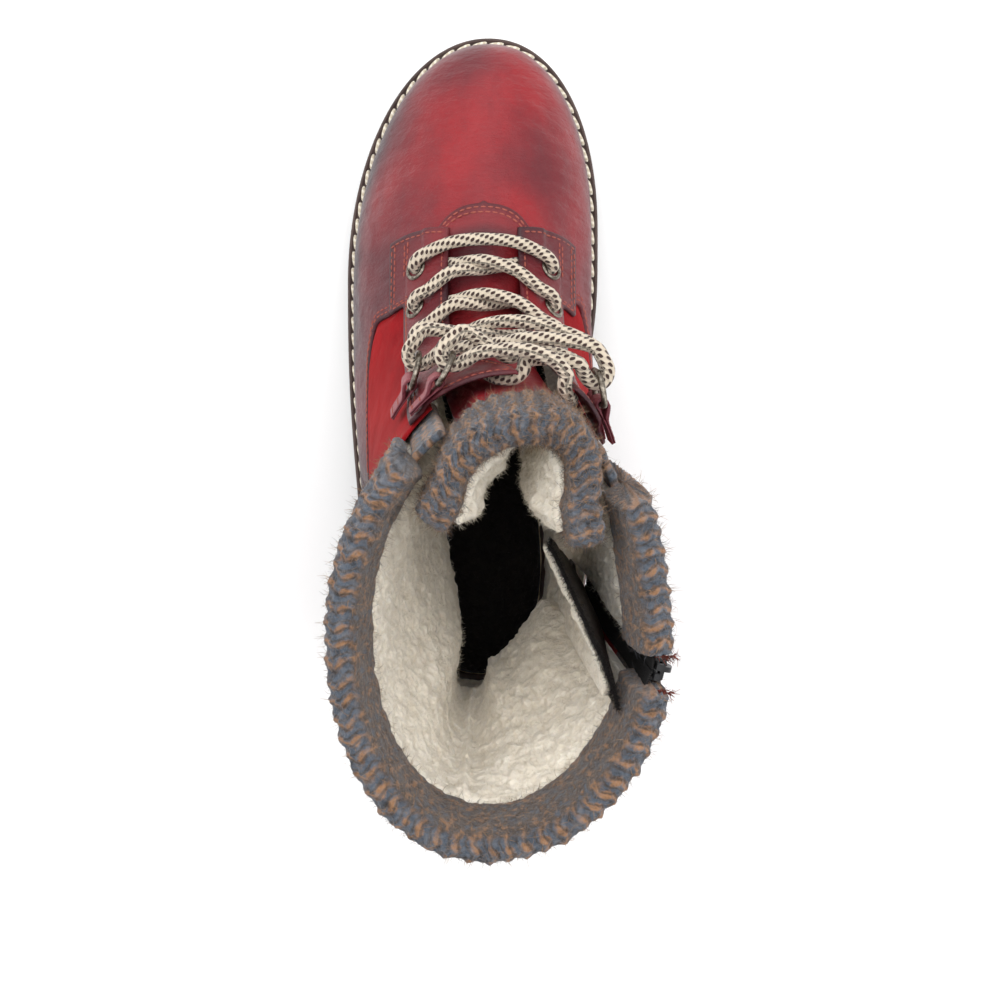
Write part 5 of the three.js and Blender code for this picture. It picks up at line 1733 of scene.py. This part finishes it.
@dataclass
class Linings:
    """Fleece inside the boot, on its shaft and round the foot, and the zip's guard."""

    clump: Ripple = field(default_factory=lambda: Ripple(4.5, 21))
    wave: Ripple = field(default_factory=lambda: Ripple(26, 22))

    def pile(self, points: Array, phi: Array, level: Array) -> Array:
        """Tufts and waves, and one standing pleat at the back."""
        pleat = (
            2.5 * np.exp(-(((phi - 3.33 - 0.03 * (level - 8)) / 0.045) ** 2))
            * smooth(4.4, 5.4, level) * (1 - 0.6 * smooth(7.6, 8.3, level))
        )
        turn = phi % TAU
        lateral = smooth(3.34, 4.0, turn) * (1 - smooth(5.1, 5.75, turn))
        medial = smooth(2.0, 2.4, turn) * (1 - smooth(2.85, 3.3, turn))
        bulge = (18 * lateral + 12 * medial) * smooth(8.4, 5.9, level) * smooth(4.2, 5.0, level)
        return 0.9 + 0.55 * self.clump(points) + 0.8 * self.wave(points) + pleat + bulge

    def shaft(self, name: str, start: Curve, end: Curve, node: str, ni: int, seed: int) -> None:
        """One side of the shaft's fleece."""
        a, b = spread(ni, ni * 0.9)[:, None], spread(110, 110)[None, :]
        level = np.broadcast_to(4.13 + 4.2 * b, (len(a), b.shape[1]))
        phi = start(level) * (1 - a) + end(level) * a
        patch = Patch(name, phi, level, LINING_OUT - LINING, LINING, pile=self.pile)
        piece = patch.make()
        piece.build("boot", Finish.FLEECE, "fleece", (node,))
        _, n, _ = FORM.frame(phi, level)
        high = (level > 5.5).reshape(-1)
        fuzz = Piece(name + "_pile")
        hairs(
            fuzz, patch.inside.reshape(-1, 3)[high], -n.reshape(-1, 3)[high], ni * 28, (1.0, 2.4),
            0.07, 0.9, seed
        )
        fuzz.build("boot", Finish.PILE, "fleece", attribute="tone")

    def make(self) -> None:
        """Builds the linings and the guard."""
        edge = lambda v: FRONT_EDGE + 14 * smooth(6.7, 6.9, v)
        self.shaft(
            "fleece_rear", lambda v: FORM.from_zip(6.8, v),
            lambda v: behind(FORM.across(-edge(v), v)), "lining_shaft_rear", 260, 31
        )
        self.shaft(
            "fleece_front", lambda v: FORM.across(edge(v), v), lambda v: FORM.from_zip(-6.8, v),
            "lining_shaft_front", 60, 32
        )
        phi = np.linspace(-np.pi, np.pi, 241)[:, None]
        level = np.broadcast_to(np.linspace(0.1, 4.11, 96)[None, :], (241, 96))
        inner = LINING_OUT - LINING * smooth(-0.4, 0.5, level)
        patch = Patch(
            "fleece_foot", np.broadcast_to(phi, level.shape), level, inner, 3.9, ring=True,
            pile=lambda p, f, v: 0.4 + 0.5 * self.clump(p)
        )
        patch.make().build("boot", Finish.FLEECE, "fleece", ("lining_foot",))
        for name, side in (("lateral", -1), ("medial", 1)):
            a, level = spread(20, 14)[:, None], 6.85 + 1.45 * spread(40, 38)[None, :]
            phi = FORM.across(side * (FRONT_EDGE + 13.6 * a), level)
            felt = Patch(
                f"collar_felt_{name}", phi, np.repeat(level, len(a), 0), LINING_OUT - 2.4, 2.4,
                relief=lambda p, e, v: 0.4 * self.clump(p), wear_and_shade=lambda p, e: 0 * e + 1
            )
            felt.make().build("boot", Finish.KNIT, "knit", attribute="tone")
        self.guard()

    def guard(self) -> None:
        """Guard behind the zip: a leather flap that leans in toward the front, with a worn furry edge."""
        a = spread(110, 60)[:, None]
        b = spread(80, 100)[None, :]
        top = 8.78 - 0.5 * smooth(0.2, 1, a)
        level = GUARD_FOOT + (top - GUARD_FOOT) * b
        taper = 0.5 + 0.5 * smooth(0.2, 0.9, b)
        s = 14 - 46 * a * taper
        lean = lambda v: 1.0 * smooth(0, 0.25, a) + np.maximum(0, 16.5 * a ** 0.9 - 5.2 * (top - v))
        depth = LINING_OUT - LINING - 2.8 - lean(level)
        phi = FORM.from_zip(s, np.maximum(level, 3))
        patch = Patch(
            "zip_guard_leather", phi, level, depth, 1.1, relief=lambda p, e, v: 0.25 * self.wave(p)
        )
        patch.make().build("boot", Finish.GUARD, "guard_leather", ("zip_guard",))
        low = GUARD_FOOT + (top - 0.34 - GUARD_FOOT) * b
        under = LINING_OUT - LINING - 5.3 - lean(low)
        fleece = Patch(
            "zip_guard_fleece", FORM.from_zip(14 - 45 * a * taper, low), low, under, 2.3,
            pile=lambda q, f, v: 0.6 + 0.5 * self.clump(q)
        )
        fleece.make().build("boot", Finish.FLEECE, "fleece")
        p = FORM.skin(phi, level, depth + 0.5)
        _, n, up = FORM.frame(phi, level)
        fuzz = Piece("zip_guard_edge")
        root = np.concatenate([p[:, -2:].reshape(-1, 3), p[-3:, 40:].reshape(-1, 3)])
        out = np.concatenate([up[:, -2:].reshape(-1, 3), -n[-3:, 40:].reshape(-1, 3)])
        hairs(fuzz, root, out, 2600, (0.8, 2.6), 0.08, 0.9, 44, np.zeros(len(root)))
        fuzz.build("boot", Finish.BLACK_WOOL, "guard_leather", attribute="tone")


@dataclass
class Tongue:
    """Tongue: leather outside, fleece inside, and a knit top shaped like a horseshoe."""

    linings: Linings
    upper: Upper

    @staticmethod
    def sunk(s: Array) -> Array:
        """How far the tongue's sides lie below the lining's edges."""
        return 4.2 * smooth(13, 22.5, np.abs(s))

    @staticmethod
    def fold(a: Array) -> Array:
        """How far the horseshoe's legs turn inward."""
        s = TONGUE_REACH * np.abs(2 * a - 1)
        return 8.6 * np.minimum(1, s / COLLAR_EDGE) ** 3.4 + 0.12 * np.maximum(0, s - COLLAR_EDGE)

    def make(self) -> None:
        """Builds the tongue's pieces."""
        s = (-25.5 + 51 * spread(80, 51))[:, None]
        level = np.repeat((4.12 + 3.74 * spread(130, 110))[None, :], len(s), 0)
        phi = FORM.across(s, level)
        wear_and_shade = lambda p, e: np.clip(0.25 + 0.35 * self.upper.crease(p * 0.4), 0, 1)
        piece = Patch(
            "tongue_outside", phi, level, TONGUE_OUT - 1.3 - self.sunk(s), 1.3,
            relief=self.upper.creases, wear_and_shade=wear_and_shade
        ).make()
        piece.build("tongue", Finish.VAMP, "dark_leather", ("tongue_leather",))
        s = (-21 + 42 * spread(60, 42))[:, None]
        level = np.repeat((4.3 + 3.56 * spread(100, 100))[None, :], len(s), 0)
        patch = Patch(
            "tongue_fleece", FORM.across(s, level), level, TONGUE_OUT - 4.6 - self.sunk(s), 2.6,
            pile=self.linings.pile
        )
        patch.make().build("tongue", Finish.FLEECE, "fleece", ("tongue_lining",))
        KnitRoll(
            "tongue_knit_top", lambda v: FORM.across(-TONGUE_REACH, v),
            lambda v: FORM.across(TONGUE_REACH, v), TONGUE_SECTION, "tongue", "tongue_knit",
            (0.0, 0.50), self.fold, 4.0, 430, 0.6, seed=61, fibres=9000
        ).make()
        self.flaps()

    def flaps(self) -> None:
        """Fleece on the inside of the knit top, thickest on its two legs."""
        a = spread(150, 92)[:, None]
        s = -47 + 94 * a
        b = spread(46, 40)[None, :]
        level = np.repeat(7.3 + 1.42 * b, len(s), 0)
        thick = 1.6 + 7.2 * smooth(5, 16, np.abs(s)) * (1 - 0.6 * smooth(34, 47, np.abs(s)))
        depth = (
            -11.2 - self.fold(0.5 + s / (2 * TONGUE_REACH))
            - thick * (1 - 0.5 * smooth(8.3, 8.72, level))
        )
        patch = Patch(
            "tongue_fleece_flaps", FORM.across(s, level), level, depth, 1.5, pile=lambda p, f,
            v: 0.5 + 0.7 * self.linings.clump(p) + 0.8 * self.linings.wave(p)
        )
        patch.thick = thick * 0.9 + 0.5
        piece = patch.make()
        piece.build("tongue", Finish.FLEECE, "fleece")
        _, n, up = FORM.frame(patch.phi, level)
        fuzz = Piece("tongue_fleece_pile")
        hairs(
            fuzz, patch.inside.reshape(-1, 3), unit(up - n).reshape(-1, 3), 3600, (1.0, 2.6), 0.07,
            0.9, 71
        )
        fuzz.build("tongue", Finish.PILE, "fleece", attribute="tone")


@dataclass
class Collar:
    """Knit collar in two parts, from the zip round the back and from the zip forward."""

    def make(self) -> None:
        """Builds both parts."""
        none = lambda a: 0 * a
        KnitRoll(
            "collar_rear", lambda v: FORM.from_zip(ZIP_SLOT, v),
            lambda v: behind(FORM.across(-COLLAR_EDGE, v)), COLLAR_SECTION, "boot",
            "knit_collar_rear", (0.03, 0.47), none, 2.0, 520, 0.66, seed=81, fibres=7600
        ).make()
        KnitRoll(
            "collar_front", lambda v: FORM.across(COLLAR_EDGE, v),
            lambda v: FORM.from_zip(-ZIP_SLOT, v), COLLAR_SECTION, "boot", "knit_collar_front",
            (0.03, 0.47), none, 2.0, 110, 0.62, seed=91, fibres=1800
        ).make()


# ------------------------------------------------------------------------- zip
@dataclass
class Zip:
    """Side zip: woven tapes and moulded teeth, with the seams and thread ends beside them."""

    pitch: float = 2.0

    def __post_init__(self) -> None:
        """Finds the zip's own directions: rearward, outward and up."""
        self.length = float(np.linalg.norm(FORM.span))
        self.axis = FORM.span / self.length
        phi = np.interp(6.5, FORM.levels, FORM.zip_phi)
        _, n, _ = FORM.frame(np.array(phi), np.array(6.5))
        self.normal = unit(n - self.axis * (n @ self.axis))
        self.side = unit(np.cross(self.normal, self.axis))

    def at(self, x: Array, y: Array, z: Array) -> Array:
        """Point from distances rearward, outward and up the zip."""
        x, y, z = np.broadcast_arrays(x, y, z)
        return  (
            ZIP_BOTTOM + x[..., None] * self.side + y[..., None] * self.normal
            + z[..., None] * self.axis
        )

    def make(self) -> None:
        """Builds tapes and teeth, then the seams and thread ends by the zip."""
        low, high = ZIP_START, self.length - 1
        for name, side in (("rear", 1), ("front", -1)):
            z = np.linspace(low, high, 120)[:, None]
            across, height = TAPE_SECTION[None, :, 0], TAPE_SECTION[None, :, 1]
            p = self.at(side * across, height, z)
            u = np.broadcast_to(across, z.shape[:1] + across.shape[1:])
            piece = Piece(f"tape_{name}")
            piece.grid(
                p, np.stack([u, np.broadcast_to(z, u.shape)], -1), 0.0, wrap_j=True, cap=True
            )
            piece.build("boot", Finish.TAPE, "zip_tape", (f"zip_tape_{name}",))
            piece = Piece(f"teeth_{name}")
            t = np.arange(
                low + 5 + (0.5 if side > 0 else -0.5) * self.pitch, high - 1.5, self.pitch
            )
            n = len(t)
            beads(
                piece, self.at(side * 0.95, 1.95, t), np.tile(self.side, (n, 1)),
                np.tile(self.normal, (n, 1)), (3.4, 1.25, 1.7), 0.0, 7, 8
            )
            beads(
                piece, self.at(side * 2.0, 1.6, t), np.tile(self.axis, (n, 1)),
                np.tile(self.normal, (n, 1)), (1.5, 1.0, 1.6), 0.0, 5, 8
            )
            piece.build("boot", Finish.PLASTIC, "zip_plastic", (f"zip_teeth_{name}",))
        self.threads()

    def threads(self) -> None:
        """Loose red ends of the seam thread beside the zip's top, and edge seams down the slot."""
        piece = Seams("zip_seams")
        v = np.linspace(4.9, 7.25, 200)
        for s in (-ZIP_SLOT - 1.6, ZIP_SLOT + 1.6):
            seam(piece, FORM.from_zip(s, v), v, BASE + LEATHER)
        piece.sew()
        piece = Seams("zip_thread_ends")
        v = np.full(30, 8.9)
        for s, seed in ((-ZIP_SLOT - 0.6, 7), (ZIP_SLOT + 0.6, 8)):
            phi = FORM.from_zip(s, v)
            root, n, up = FORM.frame(phi, v)
            root = FORM.skin(phi, v, np.linspace(1, 6, 30))
            hairs(piece, root, unit(up + 0.5 * n), 60, (1.6, 3.6), 0.16, 0.7, seed)
        piece.sew("tone")


# ------------------------------------------------------------------------ lace
LACE_TUCK = {
    1: [
        [5, 7.42, 7.6], [2.2, 7.44, 6.2], [1.6, 7.46, 3.8], [-0.6, 7.46, 1.4], [-5, 7.38, 1.1],
        [-7.5, 7.12, 1.05]
    ],
    -1: [
        [3, 7.52, 10.8], [-3, 7.62, 10.4], [-8.5, 7.62, 8.6], [-12, 7.6, 6], [-12.6, 7.58, 3.6],
        [-14.8, 7.55, 1.4], [-18.5, 7.42, 1.1], [-21, 7.15, 1.05]
    ],
}


@dataclass
class Lace:
    """Round braided lace on the route that its CAD node takes."""

    rings: Rings
    radius: float = 2.3

    @staticmethod
    def over(s: Array, level: Array, depth: Array) -> Array:
        """Points over the front, across from its centre line."""
        s, level, depth = (np.asarray(x, float) for x in np.broadcast_arrays(s, level, depth))
        return FORM.skin(FORM.across(s, level), level, depth)

    def through_eyelet(self, side: int, level: float) -> Array:
        """Down through an eyelet and back under the stay."""
        s, top, low = EYELET_ACROSS, STAY_LIFT + STAY_THICKNESS, STAY_LIFT
        q = np.array(
            [
                [s - 7.5, -0.03, top + 2.7], [s - 3.6, -0.01, top + 3.4], [s - 0.7, 0, top + 1.9],
                [s - 0.1, 0, top - 0.7], [s - 0.6, 0.01, low - 1.3], [s - 3.2, 0.03, low - 3.1],
                [s - 7, 0.05, low - 3.0], [12.6, 0.08, low - 2.9]
            ]
        )
        return self.over(side * q[:, 0], level + q[:, 1], q[:, 2])

    def through_ring(self, side: int, row_name: str) -> Array:
        """Over a ring's wire and back under it."""
        at, c, up, n = self.rings.marks[f"{'lateral' if side < 0 else 'medial'}_{row_name}"]
        bar = at + RING_DEPTH * (c * np.cos(RING_TILT) + n * np.sin(RING_TILT))
        turn = RING_WIRE_R + LACE_CAD_R + 0.75
        q = np.array(
            [
                [6.5, turn - 0.3, -3.2], [2.4, turn, -1.2], [-1.9, turn * 0.8, -0.4], [-turn, 0, 0],
                [-1.9, -turn * 0.8, 0.4], [2.2, -turn, 1.2], [6.5, -turn + 0.1, 3.2]
            ]
        )
        return bar + q[:, :1] * c + q[:, 1:2] * n + q[:, 2:] * up

    def crossing(self, side: int, start: float, end: float, depths: tuple) -> Array:
        """From a turn on one side over the middle to the other."""
        s1, s2 = (depths[3], depths[4]) if len(depths) > 3 else (8.6, 9)
        at = start + (end - start) * np.array([0.25, 0.5, 0.75])
        return self.over(np.array([side * s1, 0, -side * s2]), at, np.array(depths[:3]))

    def half(self, side: int) -> Array:
        """Route from the first eyelet on one side up to the lace's end."""
        points = [self.through_eyelet(side, EYELET_LEVELS[0])]
        for k in range(2):
            depths = (3.6, 7.8, 8.8) if side < 0 else (2.4, 3.1, 8.3)
            points.append(
                self.crossing(side, EYELET_LEVELS[k] + 0.04, EYELET_LEVELS[k + 1] - 0.04, depths)
            )
            side = -side
            points.append(self.through_eyelet(side, EYELET_LEVELS[k + 1]))
        start = EYELET_LEVELS[2]
        for k, (name, _, _, level) in enumerate(RING_ROWS):
            first = (3.6, 8.6, 12.2) if side < 0 else (2.4, 3.8, 9.2)
            second = (8.8, 10.4, 12.6, 5, 5) if side < 0 else (7.4, 5.2, 9.6, 5, 5)
            points.append(
                self.crossing(side, start + 0.06, level - 0.08, first if k == 0 else second)
            )
            side = -side
            points.append(self.through_ring(side, name))
            start = level + 0.08
        q = np.array(LACE_TUCK[side])
        points.append(self.over(side * q[:, 0], q[:, 1], q[:, 2]))
        return np.vstack(points)

    def make(self) -> None:
        """Builds the lace, its radius drawn in a little at the two ends."""
        right, left = self.half(1), self.half(-1)
        level = EYELET_LEVELS[0] - 0.03
        bar = self.over(np.array([9.0, 0, -9]), np.full(3, level), np.array([8.5, 7.6, 8.5]))
        path = resample(spline(np.vstack([right[::-1], bar, left]), 14), 0.5)
        piece = Piece("lace_braided")
        along = np.arange(len(path)) * 0.5
        close = np.minimum(along, along[-1] - along)
        radius = LACE_CAD_R + (self.radius - LACE_CAD_R) * smooth(10, 22, close)
        radius = radius + 0.05 * np.sin(along * 0.31) + 0.04 * np.sin(along * 0.13 + 1)
        tube(piece, path, radius, 20, np.array([0.0, 0.0, 1.0]))
        piece.build("boot", Finish.LACE, "lace_braid", ("lace",))


# ---------------------------------------------------------------------- studio
@dataclass
class Studio:
    """Pale floor, soft lights and the camera straight above the boot."""

    eye: tuple = (0.006, 0.045, 0.600)
    lens: float = 49.464
    sky: float = 0.58
    lamps: tuple = (
        ("overhead", (0.10, 0.35, 1.35), 1.3, 12.5),
        ("left", (-1.1, 0.4, 0.9), 0.9, 7.5),
        ("right", (1.1, -0.1, 0.9), 0.9, 6.5),
        ("toe", (0.0, 1.2, 0.7), 0.8, 3.0),
    )

    def make(self) -> None:
        """Builds camera, lights and floor."""
        scene = bpy.context.scene
        scene.view_settings.view_transform = "Standard"
        scene.view_settings.look = "None"
        scene.view_settings.exposure = 0.0
        data = bpy.data.cameras.new("camera")
        data.lens, data.sensor_width, data.sensor_fit = self.lens, 36.0, "HORIZONTAL"
        data.clip_start, data.clip_end = 0.01, 20
        camera = bpy.data.objects.new("camera", data)
        camera.location = self.eye
        scene.collection.objects.link(camera)
        scene.camera = camera
        world = bpy.data.worlds.new("studio")
        world.use_nodes = True
        sky = world.node_tree.nodes["Background"].inputs
        sky[0].default_value = (1, 1, 1, 1)
        sky[1].default_value = self.sky
        scene.world = world
        for lamp in self.lamps:
            self.area(*lamp)
        size, y0 = 4.0, 0.09
        mesh = bpy.data.meshes.new("floor")
        mesh.from_pydata(
            [
                (-size, y0 - size, 0), (size, y0 - size, 0), (size, y0 + size, 0),
                (-size, y0 + size, 0)
            ],
            [], [(0, 1, 2, 3)]
        )
        floor = bpy.data.objects.new("floor", mesh)
        floor.location.z = -0.0002
        scene.collection.objects.link(floor)
        t = Tree("pale_floor")
        base = t.mix(
            t.remap(t.noise(t.position(), 3, 3), 0.3, 0.7, 0, 1), (0.93, 0.93, 0.93),
            (0.95, 0.95, 0.95)
        )
        mesh.materials.append(t.finish(Base_Color=base, Roughness=0.9, Specular_IOR_Level=0.1))

    @staticmethod
    def area(name: str, place: tuple, size: float, watts: float) -> None:
        """Soft square light aimed at the boot."""
        data = bpy.data.lights.new(name, "AREA")
        data.size, data.energy = size, watts
        light = bpy.data.objects.new(name, data)
        light.location = place
        light.rotation_euler = (
            Vector((0, 0.08, 0.1)) - Vector(place)
        ).to_track_quat("-Z", "Y").to_euler()
        bpy.context.scene.collection.objects.link(light)


DRESSED = {
    Finish.CORK: ("sole_filler",),
    Finish.STEEL: ("shank",),
    Finish.BOARD: ("insole_board", "toe_puff", "heel_counter"),
    Finish.PLASTIC: (
        "zip_slider", "zip_puller", "zip_top_stop_rear", "zip_top_stop_front", "zip_bottom_stop", "aglet_1", "aglet_2",
    ),
}


def main() -> None:
    """Loads the frame and builds every sub-assembly in order."""
    logging.basicConfig(level=logging.INFO, format="%(name)s %(message)s")
    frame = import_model()
    Studio().make()
    Sole().make()
    upper = Upper()
    upper.make()
    rings = Rings()
    rings.make()
    linings = Linings()
    linings.make()
    Tongue(linings, upper).make()
    Collar().make()
    Zip().make()
    Lace(rings).make()
    for finish, nodes in DRESSED.items():
        for node in nodes:
            mesh = frame["nodes"][node].data
            mesh.materials.clear()
            mesh.materials.append(material(finish))


if __name__ == "__main__":
    main()
